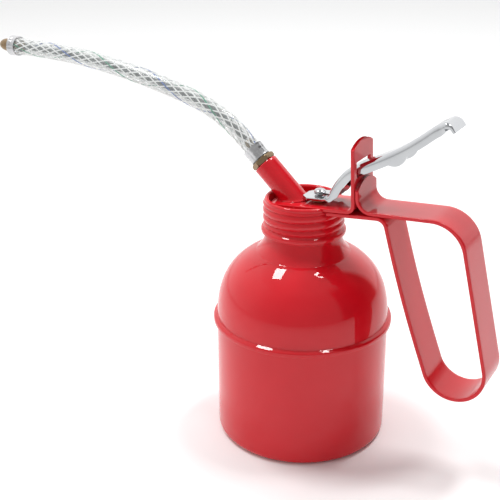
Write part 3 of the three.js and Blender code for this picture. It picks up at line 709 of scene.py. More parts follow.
@dataclass(frozen=True)
class Levels:
    """Sizes that several pieces share."""

    gap: float = 0.3
    panel: float = 141.6
    rim: float = 147.0
    slope: float = 0.0928
    plate_front: float = -16.4
    sheet: float = 2.0
    upright: float = 35.8
    upright_height: float = 38.8
    lean: float = 1.6 / 38.8
    pump_x: float = 10.0
    slot_foot: float = 18.6
    spout_angle: float = 43.1

    def plate(self, x: Array | float) -> Array | float:
        """Height of the plate's middle at x."""
        return self.panel + self.gap + self.sheet / 2 + self.slope * (x - self.plate_front)

    def plate_top(self, x: Array | float) -> Array | float:
        """Height of the plate's top at x."""
        return self.plate(x) + self.sheet / 2

    @property
    def foot(self) -> float:
        """Height at which the upright starts."""
        return float(self.plate(self.upright))

    @property
    def slot(self) -> float:
        """Height of the slot's lower edge."""
        return self.foot + self.slot_foot

    @property
    def spout_way(self) -> Array:
        """The spout's direction as x and z, which the hose leaves along."""
        angle = math.radians(self.spout_angle)
        return np.array([-math.cos(angle), math.sin(angle)])

    def upright_x(self, z: Array | float) -> Array | float:
        """Middle of the upright's sheet at a height."""
        return self.upright - self.lean * (z - self.foot)


LEVEL = Levels()


# ------------------------------------------------------------------ studio


@dataclass(frozen=True)
class Softbox:
    """One soft light: where it stands, how big it is and how bright."""

    name: str
    place: tuple[float, float, float]
    width: float
    height: float
    power: float


@dataclass
class Studio:
    """Camera, floor and light. The lights' places and the target are in metres."""

    place: tuple[float, float, float] = (241.98, -477.27, 342.29)
    azimuth: float = 30.19
    elevation: float = 23.12
    roll: float = -0.37
    lens: float = 72.19
    boxes: Sequence[Softbox] = (
        Softbox("left_light", (-0.62, -0.08, 1.55), 0.26, 0.5, 10.0),
        Softbox("right_light", (0.3, 0.46, 1.55), 0.26, 0.5, 10.0),
    )

    room: Sequence[tuple[float, float]] = (
        (0.0, 1.0), (0.1, 0.8), (0.17, 0.5), (0.25, 0.36), (0.465, 0.36), (0.485, 0.03), (0.655, 0.03),
        (0.68, 1.0), (0.9, 1.0),
    )
    overhead: Sequence[tuple[float, float]] = ((0.72, 0.0), (0.86, 1.0))
    room_level: float = 1.3
    ceiling: tuple[float, float, float] = (0.45, 0.45, 0.45)
    target: tuple[float, float, float] = (0.0, 0.0, 0.11)
    floor_reach: float = 6000.0
    floor_drop: float = 0.05

    def camera(self) -> None:
        """Stands the camera and makes it the scene's."""
        azimuth, elevation, roll = (math.radians(v) for v in (self.azimuth, self.elevation, self.roll))
        level = math.cos(elevation)
        back = np.array([math.sin(azimuth) * level, -math.cos(azimuth) * level, math.sin(elevation)])
        right = np.array([math.cos(azimuth), math.sin(azimuth), 0.0])
        up = np.cross(back, right)
        across = math.cos(roll) * right + math.sin(roll) * up
        upward = -math.sin(roll) * right + math.cos(roll) * up
        data = bpy.data.cameras.new("camera")
        data.lens, data.sensor_width, data.sensor_fit = self.lens, 36.0, "HORIZONTAL"
        data.clip_start, data.clip_end = 0.01, 20.0
        camera = placed("camera", data)
        camera.matrix_world = standing(across, upward, back, np.array(self.place) * MM)
        bpy.context.scene.camera = camera

    def floor(self) -> None:
        """Lays a wide pale floor under the can: a plane on a grid of its two lengths."""
        side = np.linspace(-self.floor_reach, self.floor_reach, 3)
        x, y = np.meshgrid(side, side, indexing="ij")
        piece = Skin("floor").grid(np.stack([x, y, np.full_like(x, -self.floor_drop)], -1)).made()
        if piece.data.polygons[0].normal.z < 0:
            piece.data.flip_normals()
        piece.data.materials.append(FLOOR.material())

    def lights(self) -> None:
        """Hangs the soft boxes, each aimed at the middle of the object."""
        for box in self.boxes:
            data = bpy.data.lights.new(box.name, "AREA")
            data.shape, data.size, data.size_y, data.energy = "RECTANGLE", box.width, box.height, box.power
            back = np.array(box.place) - np.array(self.target)
            back /= np.linalg.norm(back)
            side = np.cross((0, 1, 0), back)
            side /= np.linalg.norm(side)
            placed(box.name, data).matrix_world = standing(side, np.cross(back, side), back, box.place)

    def world(self) -> None:
        """A white room with a dimmer side where the camera stands and a dark gap on its right."""
        world = bpy.data.worlds.new("room")
        bpy.context.scene.world = world
        world.use_nodes = True
        graph = Graph(world.node_tree)
        way = graph.add("ShaderNodeTexCoord", out="Generated")
        across, deep, high = (graph.add("ShaderNodeSeparateXYZ", {0: way}, out=axis) for axis in "XYZ")
        turn = graph.add("ShaderNodeMath", {0: deep, 1: across}, operation="ARCTAN2") / (2 * math.pi) + 0.5
        walls = graph.add("ShaderNodeValToRGB", {0: turn}, stops=self.room)
        overhead = graph.add("ShaderNodeValToRGB", {0: high}, stops=self.overhead)
        shade = graph.blend(overhead, walls, self.ceiling)
        surface = graph.add("ShaderNodeBackground", {"Color": shade, "Strength": self.room_level})
        graph.add("ShaderNodeOutputWorld", {"Surface": surface})

    def build(self) -> None:
        """Sets up the whole studio, with colours shown as they are."""
        bpy.context.scene.view_settings.view_transform = "Standard"
        self.camera()
        self.floor()
        self.lights()
        self.world()


# ------------------------------------------------------------------ hose


@dataclass
class HoseSet:
    """The braided hose with its crimps, its adapter and its nozzle."""

    diameter: float = 10.9
    inside: float = 3.1
    braid: float = 4.75
    # bore: radius of the dark tube that paints the shade inside the hollow bore
    bore: float = 1.75
    lead: float = 74.0
    yarns: int = 9
    tracers: tuple[int, int] = (2, 6)
    yarn_half_width: float = 0.42
    yarn_half_thickness: float = 0.14
    weave: float = 0.09
    crimp_inside: float = 0.3
    crimp_outside: float = 0.59
    crimp_dent: float = 0.26
    crimp_step: float = 0.16
    crimp_rim: float = 0.1
    hexagon: float = 6.4
    exit: tuple[float, float] = (-27.86, 165.22)
    route: Sequence[tuple[float, float]] = (
        (0, 0), (5.8, 5.4), (11.4, 10.6), (16.6, 15.2), (22, 19.1), (27.8, 22.4), (34, 25.4), (40.7, 28),
        (47.8, 30.3), (55.2, 32.3), (62.6, 34.2), (69, 35.7), (81, 38.4), (96.2, 41.1), (111.2, 43.4),
        (126.4, 45.1), (142.8, 46.2), (158.9, 46.8), (171, 46.95), (181.3, 47),
    )
    line: Array = field(init=False)

    def __post_init__(self) -> None:
        """Works out the middle line from the route."""
        points = [(self.exit[0] - out, self.exit[1] + up) for out, up in self.route]
        self.line = resample(smooth(points, 10), 1.0)

    def wall(self) -> bpy.types.Object:
        """The clear wall: a tube of one radius along the middle line, with its ends turned in.

        Returns:
            The piece.
        """
        outer, inner = (wound(self.line, size, once_round(40)) for size in (self.diameter / 2, self.inside))
        skin = Skin("hose_wall").grid(np.concatenate([outer, inner[::-1]]), True, True)
        return settle(skin.made(50), CLEAR_WALL, Body.HEAD, "hose")

    def shade_tube(self) -> bpy.types.Object:
        """Painted shade in the hollow bore: a slim dark tube between the two barbs, standing in for the
        darkness seen through the clear wall.

        Returns:
            The piece.
        """
        grid = wound(self.line[14:-10], self.bore, once_round(20))
        return settle(Skin("hose_shade_tube").grid(grid, False, True, caps=True).made(50), BORE_SHADE, Body.HEAD)

    def yarn(self, name: str, starts: Sequence[float], hand: int, finish: Finish) -> bpy.types.Object:
        """Flat yarns wound round the hose inside its wall.

        A yarn's middle is at the braid's radius, at an angle that grows by one turn per lead, and its
        section is an ellipse: the angle adds its half width over the radius, and the radius its half
        thickness. A sine along the hose lifts it over and under the yarns of the other hand.

        Args:
            name: the piece's name.
            starts: share of a turn at which each yarn starts.
            hand: 1 or -1, which way it winds.
            finish: the yarn's finish.

        Returns:
            The piece.
        """
        along = lengths(self.line)
        section = once_round(6)[None, :]
        over = self.weave * np.sin(2 * np.pi * along * self.yarns / self.lead)[:, None] * hand
        radius = self.braid + over + self.yarn_half_thickness * np.sin(section)
        skin = Skin(name)
        for start in starts:
            turned = 2 * np.pi * (start + hand * along / self.lead)[:, None]
            angle = turned + self.yarn_half_width / self.braid * np.cos(section)
            skin.grid(wound(self.line, radius, angle), False, True, caps=True)
        return settle(skin.made(60), finish, Body.HEAD)

    def on_end(self, outline: Array, sides: int, name: str, at_tip: bool = False) -> Skin:
        """Turns an outline about the line of one of the hose's ends.

        The outline's height runs outwards along the hose from that end.

        Args:
            outline: radius and distance of each point, of one row or of a row for each side.
            sides: how many steps go round.
            name: the piece's name.
            at_tip: whether it lies at the outer end.

        Returns:
            The skin, before it is written.
        """
        place = self.line[-1] if at_tip else np.array(self.exit)
        way = self.line[-1] - self.line[-2] if at_tip else LEVEL.spout_way
        way = way / np.linalg.norm(way)
        normal = np.array([-way[1], way[0]])
        angle = once_round(sides)[:, None]
        radius, far = outline[..., 0], outline[..., 1]
        x = place[0] + way[0] * far + normal[0] * radius * np.cos(angle)
        z = place[1] + way[1] * far + normal[1] * radius * np.cos(angle)
        grid = np.stack(np.broadcast_arrays(x, radius * np.sin(angle), z), -1)
        return Skin(name).grid(grid, True, True)

    def crimp(self, name: str, start: float, end: float, node: str, at_tip: bool) -> bpy.types.Object:
        """A crimped sleeve: a ring whose outside is pressed in at eight places and flared at its rims.

        The outer radius is the plain radius, less a dent times the eighth power of the cosine of four
        times the angle, which fades out towards both rims.

        Args:
            name: the piece's name.
            start: distance of its first rim.
            end: distance of its last rim.
            node: the node that it stands for.
            at_tip: whether it sits at the outer end.

        Returns:
            The piece.
        """
        sides, length = 96, end - start
        far = np.linspace(start, end, 17)
        angle = once_round(sides)[:, None]
        share = (far - start)[None, :] / length
        dent = self.crimp_dent * np.cos(4 * angle) ** 8 * np.sin(np.pi * share) ** 0.5
        step = self.crimp_step * ease(far, start + length * 0.55, start + length * 0.66)[None, :]
        rim = self.crimp_rim * (np.exp(-((share - 1) * 14) ** 2) + np.exp(-(share * 14) ** 2))
        radius = self.diameter / 2 + self.crimp_outside - dent + step + rim
        outside = np.stack(np.broadcast_arrays(radius, far[None, :]), -1)
        bore = np.full_like(radius, self.diameter / 2 + self.crimp_inside)
        inside = np.stack(np.broadcast_arrays(bore, far[None, ::-1]), -1)
        skin = self.on_end(np.concatenate([outside, inside], 1), sides, name, at_tip)
        return settle(skin.made(40), CRIMP, Body.HEAD, node)

    def adapter(self) -> bpy.types.Object:
        """The brass hexagon with its stub and its barb.

        The hexagon's radius is half its flats over the cosine of the angle from the nearest flat, cut
        down near both faces by a cone, as turned hexagons are.

        Returns:
            The piece.
        """
        sides, face, back = 120, -0.3, -3.5
        angle = once_round(sides)[:, None]
        flat = (angle + np.pi / 6) % (np.pi / 3) - np.pi / 6
        far = np.array([face, face - 0.15, face - 0.7, back + 0.7, back + 0.15, back])
        cone = np.array([6.35, 6.7, 7.6, 7.6, 6.7, 6.35])
        body = np.minimum(self.hexagon / np.cos(flat), cone[None, :])
        ridges = [point for n in range(3) for point in ((2.5, 12.0 - 2.9 * n), (2.1, 9.6 - 2.9 * n))]
        barb = [(1.6, 13), (2.0, 13), *ridges, (2.1, face)]
        stub = [(4.65, back), (4.65, -12.2), (4.3, -12.5), (1.6, -12.5)]
        middle = np.stack(np.broadcast_arrays(body, far[None, :]), -1)
        outline = np.concatenate([everywhere(barb, sides), middle, everywhere(stub, sides)], 1)
        return settle(self.on_end(outline, sides, "adapter").made(28), BRASS, Body.HEAD, "hose_adapter")

    def nozzle(self) -> bpy.types.Object:
        """The brass nozzle: a collar, a long rounded cone with a small hole, and its barb in the hose.

        Returns:
            The piece.
        """
        outline = np.concatenate(
            [
                [(0.8, -9), (2.0, -9), (2.5, -7.5), (2.1, -7.2), (2.5, -4.5), (2.1, -4.2), (2.1, 0.3)],
                [(3.9, 0.3)],
                arc((3.9, 0.5), 0.2, -90, 0, 4),
                arc((3.9, 4.3), 0.2, 0, 60, 4),
                smooth([(4.0, 4.55), (3.52, 6.9), (2.5, 9.0), (1.45, 10.2)], 7),
                arc((1.15, 10.12), 0.28, 20, 90, 4),
                [(0.8, 10.4)],
            ]
        )
        skin = self.on_end(outline, 64, "nozzle", at_tip=True)
        return settle(skin.made(30), BRASS, Body.HEAD, "spray_nozzle")

    def build(self) -> None:
        wall = self.wall()
        count = self.yarns
        green, blue = self.tracers
        white = [n / count for n in range(count) if n not in self.tracers]
        pieces = [
            self.shade_tube(),
            self.yarn("hose_braid_right", white, -1, YARN),
            self.yarn("hose_braid_left", [(n + 0.5) / count for n in range(count)], 1, YARN),
            self.yarn("hose_tracer_green", [green / count], -1, GREEN_YARN),
            self.yarn("hose_tracer_blue", [blue / count], -1, BLUE_YARN),
            self.crimp("lower_crimp", 0.3, 8.0, "hose_ferrule", False),
            self.crimp("tip_crimp", -5.0, 0.4, "tip_ferrule", True),
            self.adapter(),
            self.nozzle(),
        ]
        float(lengths(self.line)[-1] * MM)


# ------------------------------------------------------------------ can


@dataclass
class Can:
    """The drawn cup and the domed upper shell."""

    radius: float = 50.5
    wall: float = 0.8
    bend: float = 4.2
    cup_top: float = 72.4
    seam: float = 71.4
    lap: float = 0.3
    bead: float = 3.8
    dome_drop: float = 4.8
    dome_rise: float = 53.7
    dome_power: float = 3.17
    dome_top: float = 114.7
    pull: tuple[float, float] = (0.7, 4.94)
    neck: float = 21.4
    neck_foot: float = 127.7
    neck_top: float = 142.4
    sides: int = 160

    def cup(self) -> bpy.types.Object:
        """The cup: flat bottom, rounded heel and straight wall, turned about the can's axis.

        Returns:
            The piece.
        """
        heel, inner = (self.radius - self.bend, self.bend), self.radius - self.wall
        outline = np.concatenate(
            [
                [(0, 0), (20, 0), (40, 0)],
                arc(heel, self.bend, -90, 0, 14),
                [(self.radius, 30), (self.radius, self.cup_top), (inner, self.cup_top), (inner, 30)],
                arc(heel, self.bend - self.wall, 0, -90, 14),
                [(20, self.wall), (0, self.wall)],
            ]
        )
        return settle(Skin("cup").turned(outline, self.sides).made(), ENAMEL, Body.CAN, "can_cup")

    def shoulder(self, inset: float, count: int) -> Array:
        """The dome and the sweep up to the neck.

        The dome's radius is the can's radius times the square root of one less the share of its
        height to the dome's power, and the sweep is a quadratic curve on to the neck.

        Args:
            inset: distance inside the outer skin.
            count: points on the dome.

        Returns:
            Radius and height of each point.
        """
        start = self.seam + self.bead
        height = start + (self.dome_top - start) * np.sin(np.linspace(0, np.pi / 2, count))
        share = np.clip((height - self.seam + self.dome_drop) / self.dome_rise, 0, 1)
        radius = self.radius * np.sqrt(1 - share**self.dome_power)
        dome = np.stack([radius - inset, height - inset * 0.5 * np.linspace(0, 1, count)], -1)
        first, last = dome[-1], np.array([self.neck - inset, self.neck_foot])
        pull = np.array([self.neck - inset + self.pull[0], self.dome_top + self.pull[1]])
        t = np.linspace(0, 1, 20)[1:, None]
        sweep = (1 - t) ** 2 * first + 2 * t * (1 - t) * pull + t**2 * last
        return np.concatenate([dome, sweep])

    def dome(self) -> bpy.types.Object:
        """The upper shell with its rolled bead and its neck, turned about the can's axis.

        Returns:
            The piece.
        """
        lap = self.radius + self.lap
        crest = lap + self.wall + 1.0
        inner, lap_top = self.radius - self.wall, self.cup_top + self.lap
        outline = np.concatenate(
            [
                [(lap, self.seam), (crest - 1.1, self.seam)],
                arc((crest - 0.7, self.seam + 0.75), 0.7, -80, 0, 6),
                arc((crest - 1.3, self.seam + 2.0), 1.3, 0, 62, 8),
                [(self.radius + 0.25, self.seam + 3.6)],
                self.shoulder(0, 40),
                [(self.neck, 135), (self.neck, self.neck_top - 0.2), (self.neck - 0.2, self.neck_top)],
                [(self.neck - self.wall + 0.2, self.neck_top), (self.neck - 0.7, self.neck_top - 0.2)],
                self.shoulder(self.wall, 24)[::-1],
                [(inner, self.seam + 2.5), (inner, lap_top), (lap, lap_top)],
            ]
        )
        skin = Skin("dome").turned(outline, self.sides, ring=True)
        return settle(skin.made(), ENAMEL, Body.CAN, "can_dome")

    def build(self) -> None:
        """Makes both shells."""
        self.cup()
        self.dome()


# ------------------------------------------------------------------ screw cap


@dataclass
class Cap:
    """The screw cap with its rolled thread, its rolled rim and its sunk panel."""

    radius: float = 22.4
    ring: float = 24.4
    base: float = 126.3
    pitch: float = 4.5
    depth: float = 1.0
    roll: float = 1.35
    recess: float = 19.7
    sheet: float = 0.7
    hole: float = 3.35
    top_inside: float = 144.1
    sides: int = 192

    def skirt(self, angle: Array) -> Array:
        """The threaded skirt.

        Its radius adds the thread: the depth times a half sine to a low power of how far the height
        and the angle's share of a turn have climbed, faded out at both ends of the skirt.

        Args:
            angle: the angle of each side.

        Returns:
            Radius and height of each point, with a row for each side.
        """
        foot, top = self.base + 4.4, LEVEL.rim - 1.9
        height = np.linspace(foot, top, 84)[None, :]
        climb = (height - self.base - 4.2) / self.pitch - angle / (2 * np.pi)
        lift = np.abs(np.sin(np.pi * climb)) ** 0.75
        fade = ease(height, foot - 0.1, foot + 1.6) * (1 - ease(height, top - 1.5, top))
        return np.stack(np.broadcast_arrays(self.radius + self.depth * lift * fade, height), -1)

    def shell(self, skin: Skin) -> None:
        """The ring, the skirt, the rim and the recess wall as one closed grid.

        Under the plate the rim is pressed down to the line of the plate's underside.

        Args:
            skin: the skin that takes the grid.
        """
        angle = once_round(self.sides)[:, None]
        ring = np.concatenate(
            [
                [(self.radius - 0.2, self.base), (self.ring - 1.2, self.base)],
                arc((self.ring - 1.1, self.base + 1.15), 1.1, -85, 0, 8),
                arc((self.ring - 1.5, self.base + 2.0), 1.5, 0, 60, 8),
                [(self.radius + 0.35, self.base + 3.75)],
            ]
        )
        middle = (self.radius - 1.32, LEVEL.rim - self.roll)
        rim = np.concatenate([arc(middle, self.roll, -8, 172, 22), [(self.recess, LEVEL.rim - 2.4)]])
        low = LEVEL.panel - self.sheet
        inside = np.concatenate(
            [
                [(self.recess, LEVEL.panel + 0.5)],
                arc((self.recess - 0.5, LEVEL.panel + 0.5), 0.5, 0, -90, 5),
                [(self.recess - 1.2, LEVEL.panel), (self.recess - 1.2, low)],
                [(self.recess + self.sheet, low), (self.recess + self.sheet, self.top_inside)],
                [(self.radius - self.sheet, self.top_inside), (self.radius - self.sheet, self.base + 1.6)],
            ]
        )
        parts = [everywhere(ring, self.sides), self.skirt(angle)]
        outline = np.concatenate([*parts, everywhere(rim, self.sides), everywhere(inside, self.sides)], 1)
        radius, height = outline[..., 0], outline[..., 1]
        x, y = radius * np.cos(angle), radius * np.sin(angle)
        under = LEVEL.plate_top(x) - LEVEL.sheet - LEVEL.gap
        reach = (1 - ease(np.abs(y), 12.9, 13.6)) * ease(x, 8.0, 12.0)
        pressed = np.minimum(height, under)
        height = height + (pressed - height) * reach * (height > LEVEL.rim - 3.5)
        skin.grid(np.stack([x, y, height], -1), True, True)

    def panel(self, skin: Skin) -> None:
        """The sunk panel: rings that run from the round edge in to the pump's hole.

        A ring's point is a mix of a point on the outer circle and one on the hole's circle, and the
        panel's two faces join at both edges.

        Args:
            skin: the skin that takes the grid.
        """
        angle = once_round(96)[None, :]
        share = np.linspace(0, 1, 8)[:, None]
        radius = (self.recess - 1.1) * (1 - share) + self.hole * share
        x, y = LEVEL.pump_x * share + radius * np.cos(angle), radius * np.sin(angle)
        inset = 0.02
        top = np.stack([x, y, np.full_like(x, LEVEL.panel - inset)], -1)
        low = np.stack([x, y, np.full_like(x, LEVEL.panel - self.sheet + inset)], -1)
        skin.grid(np.concatenate([top, low[::-1]]), True, True)

    def build(self) -> None:
        """Makes the cap as one piece."""
        skin = Skin("cap")
        self.shell(skin)
        self.panel(skin)
        settle(skin.made(36), ENAMEL, Body.HEAD, "screw_cap")


# ------------------------------------------------------------------ bracket and handle


@dataclass
class Frame:
    """The bracket on the cap, the strap handle welded to it and the spout tube."""

    plate_width: float = 25.6
    plate_corner: float = 4.0
    crown: float = 4.0
    slot_half: float = 9.2
    slot_height: float = 9.0
    slot_corner: float = 1.2
    pump_hole: float = 3.35
    strap_width: float = 25.0
    strap_tab: float = 17.5
    strap_crown: float = 5.0
    run_rise: float = 0.5
    run_slope: float = 0.067
    tab_height: float = 19.0
    tab_bend: float = 8.0
    rear_reach: float = 59.9
    rear_bend: float = 19.0
    loop: float = 17.2
    loop_reach: float = 62.5
    loop_drop: float = 80.7
    front_reach: float = 18.1
    front_bend: float = 5.5
    leg_bow: float = 1.2
    strap_end: float = 19.4
    cap_clear: float = 23.55
    spout_start: float = -6.1
    spout_length: float = 26.0
    spout_outer: float = 7.15
    spout_inner: float = 4.95

    @staticmethod
    def crowned(grid: Array, width: float, top: float, crown: float) -> Array:
        """Arches the end of an upright strip.

        The arch is a circle through both corners and the crown, and heights over a base level are
        stretched in proportion so that the strip's end follows it.

        Args:
            grid: the strip.
            width: of the strip.
            top: height of the crown.
            crown: how far the crown stands over the corners.

        Returns:
            The shaped strip.
        """
        radius = (width * width / 4 + crown * crown) / (2 * crown)
        x, y, z = grid[..., 0], grid[..., 1], grid[..., 2]
        base, end = top - crown - 2.0, z.max()
        arch = top - radius + np.sqrt(radius**2 - np.clip(y, -width / 2, width / 2) ** 2)
        upper = (z > base) & (x > 30) & (x < 42)
        raised = np.where(upper, base + (z - base) * (arch - base) / (end - base), z)
        return np.stack([x - LEVEL.lean * (raised - z), y, raised], -1)

    def plate(self, top: float) -> Array:
        """The bent strip with its round front corners, a weld dimple and its arched upright.

        The front corners are quarter circles that narrow the strip, and the dimple is a bell curve
        on the plate's top face.

        Args:
            top: height of the upright's crown.

        Returns:
            A grid of points.
        """
        corners = [
            (LEVEL.plate_front, LEVEL.plate(LEVEL.plate_front), 0),
            (LEVEL.upright, LEVEL.foot, 4.0),
            (LEVEL.upright_x(top), top, 0),
        ]
        line = resample(rounded(corners, 4), 0.55)
        grid = carried(line, *block_section(self.plate_width, LEVEL.sheet, 0.4).T)
        x, z = grid[..., 0], grid[..., 2]
        front, size = x - LEVEL.plate_front, self.plate_corner
        corner = size - np.sqrt(np.clip(size**2 - (size - np.clip(front, 0, size)) ** 2, 0, size**2))
        half = self.plate_width / 2
        y = grid[..., 1] * np.where((front < size) & (z < 146), (half - corner) / half, 1.0)
        dimple = 0.28 * np.exp(-((x + 10.5) ** 2 + (y + 7.2) ** 2) / 2.0)
        grid = np.stack([x, y, z - np.where((x < 0) & (z > LEVEL.plate(x)), dimple, 0)], -1)
        return self.crowned(grid, self.plate_width, top, self.crown)

    def bracket(self) -> bpy.types.Object:
        """The plate and its upright: flat strip bent once, with a slot and the pump's hole.

        Returns:
            The piece.
        """
        grid = self.plate(LEVEL.foot + LEVEL.upright_height)
        piece = Skin("bracket").grid(grid, False, True, caps=True).made(30)
        half, foot, top, corner = self.slot_half, LEVEL.slot, LEVEL.slot + self.slot_height, self.slot_corner
        sides = [(half, foot, corner), (half, top, corner), (-half, top, corner), (-half, foot, corner)]
        outline = rounded([(0, foot, 0), *sides, (0, foot, 0)], 15)[:-1]
        ends = np.array([28.0, 42.0])[:, None]
        slot = np.stack(np.broadcast_arrays(ends, outline[None, :, 0], outline[None, :, 1]), -1)
        hole = np.array([(0, 136.0), (self.pump_hole, 136.0), (self.pump_hole, 156.0), (0, 156.0)])
        cutters = [
            Skin("slot_cutter").grid(slot, False, True, caps=True).made(),
            Skin("hole_cutter").turned(hole, 48, x=LEVEL.pump_x).made(),
        ]
        carve(piece, cutters, 30)
        return settle(piece, ENAMEL, Body.HEAD, "fulcrum_bracket")

    @staticmethod
    def tab_x(z: float) -> float:
        """Middle of the handle's tab, behind the upright, at a height."""
        return float(LEVEL.upright_x(z)) + LEVEL.sheet + LEVEL.gap

    @staticmethod
    def under_plate(x: float) -> float:
        """Height of the handle's end, under the plate, at x."""
        return float(LEVEL.plate(x)) - LEVEL.sheet - LEVEL.gap

    def strap_line(self) -> Array:
        """The handle's middle line.

        It is a tab, a top run, a rear leg, a round bottom, a front leg bowed by a half sine, and a
        lower end. Both legs touch the round bottom's circle.

        Returns:
            x and z of each point.
        """
        run, rear_x = LEVEL.foot + self.run_rise, LEVEL.upright + self.rear_reach
        rear = (rear_x, run + self.run_slope * (rear_x - self.tab_x(run)))
        loop = np.array([LEVEL.upright + self.loop_reach, LEVEL.foot - self.loop_drop])
        front_x = LEVEL.upright + self.front_reach
        front = (front_x, self.under_plate(front_x))
        first, last = touch(rear, loop, self.loop, -1), touch(front, loop, self.loop, 1) - 360
        bottom = arc(loop, self.loop, first, last, 60)
        foot = bottom[-1]
        way = np.array(front) - foot
        share = np.linspace(0, 1, 24)[1:-1, None]
        normal = np.array([way[1], -way[0]]) / np.linalg.norm(way)
        leg = foot + way * share - normal * self.leg_bow * np.sin(np.pi * share)
        top = run + self.tab_height
        tab = [(self.tab_x(top), top, 0), (self.tab_x(run), run, self.tab_bend)]
        upper = rounded([*tab, (*rear, self.rear_bend), (*bottom[0], 0)], 2.5)
        end = (self.strap_end, self.under_plate(self.strap_end))
        lower = rounded([(*leg[-1], 0), (*front, self.front_bend), (*end, 0)], 5)
        return resample(np.concatenate([upper, bottom[1:], leg, lower[1:]]), 0.9)

    def strap(self) -> bpy.types.Object:
        """The handle: flat strip with rounded edges carried round its line, arched at its tab.

        Where it meets the cap its end is hollowed to clear it: x is at least the root of the clear
        radius squared less y squared.

        Returns:
            The piece.
        """
        grid = carried(self.strap_line(), *block_section(self.strap_width, LEVEL.sheet, 0.45).T)
        grid = self.crowned(grid, self.strap_width, LEVEL.foot + self.strap_tab, self.strap_crown)
        x, y, z = grid[..., 0], grid[..., 1], grid[..., 2]
        clear = np.sqrt(self.cap_clear**2 - y**2)
        x = np.where((x < 30) & (z < 150) & (x < clear), clear, x)
        skin = Skin("strap").grid(np.stack([x, y, z], -1), False, True, caps=True)
        return settle(skin.made(30), ENAMEL, Body.HEAD, "handle_strap")

    def spout_side(self, radius: float, share: Array, flare: float, angle: Array) -> tuple[Array, Array]:
        """One side of the spout tube's wall, from the plate to the tube's end.

        The foot of each line is where it meets the plate's top face, and the radius adds a flare
        that dies out by an exponential over the first millimetres.

        Args:
            radius: of this side.
            share: of the way from foot to end, for each point.
            flare: how far the foot stands out.
            angle: the angle of each side.

        Returns:
            Radius and distance of each point.
        """
        way, start = LEVEL.spout_way, float(LEVEL.plate_top(self.spout_start))
        side = radius * np.cos(angle)
        foot = LEVEL.plate_top(self.spout_start - way[1] * side) + 0.08 - (start + way[0] * side)
        foot = foot / (way[1] - LEVEL.slope * way[0])
        far = foot + (self.spout_length - foot) * share[None, :]
        return radius + flare * np.exp(-(far - foot) / 0.8), far

    def spout(self) -> bpy.types.Object:
        """The spout tube: an outer and an inner side joined at the foot and at the end.

        A point is the start plus the distance along the tube, plus the radius times cosine of the
        angle along the normal and sine of it along Y, and never under the plate's top.

        Returns:
            The piece.
        """
        way, angle = LEVEL.spout_way, once_round(96)[:, None]
        share = np.concatenate([np.linspace(0, 0.12, 8), np.linspace(0.15, 0.985, 16), [0.993, 1.0]])
        outer, far = self.spout_side(self.spout_outer, share, 0.7, angle)
        outer = outer - 0.3 * ease(share, 0.985, 1.0)[None, :]
        inner, near = self.spout_side(self.spout_inner, share, 0.0, angle)
        size = np.concatenate([outer, inner[:, ::-1]], 1)
        far = np.concatenate([far, near[:, ::-1]], 1)
        side = size * np.cos(angle)
        x = self.spout_start + way[0] * far - way[1] * side
        z = float(LEVEL.plate_top(self.spout_start)) + way[1] * far + way[0] * side
        z = np.maximum(z, LEVEL.plate_top(x) + 0.05)
        skin = Skin("spout").grid(np.stack([x, size * np.sin(angle), z], -1), True, True)
        return settle(skin.made(34), ENAMEL, Body.HEAD, "spout_tube")

    def build(self) -> None:
        """Makes the bracket, the handle and the spout tube."""
        self.bracket()
        self.strap()
        self.spout()


# ------------------------------------------------------------------ lever


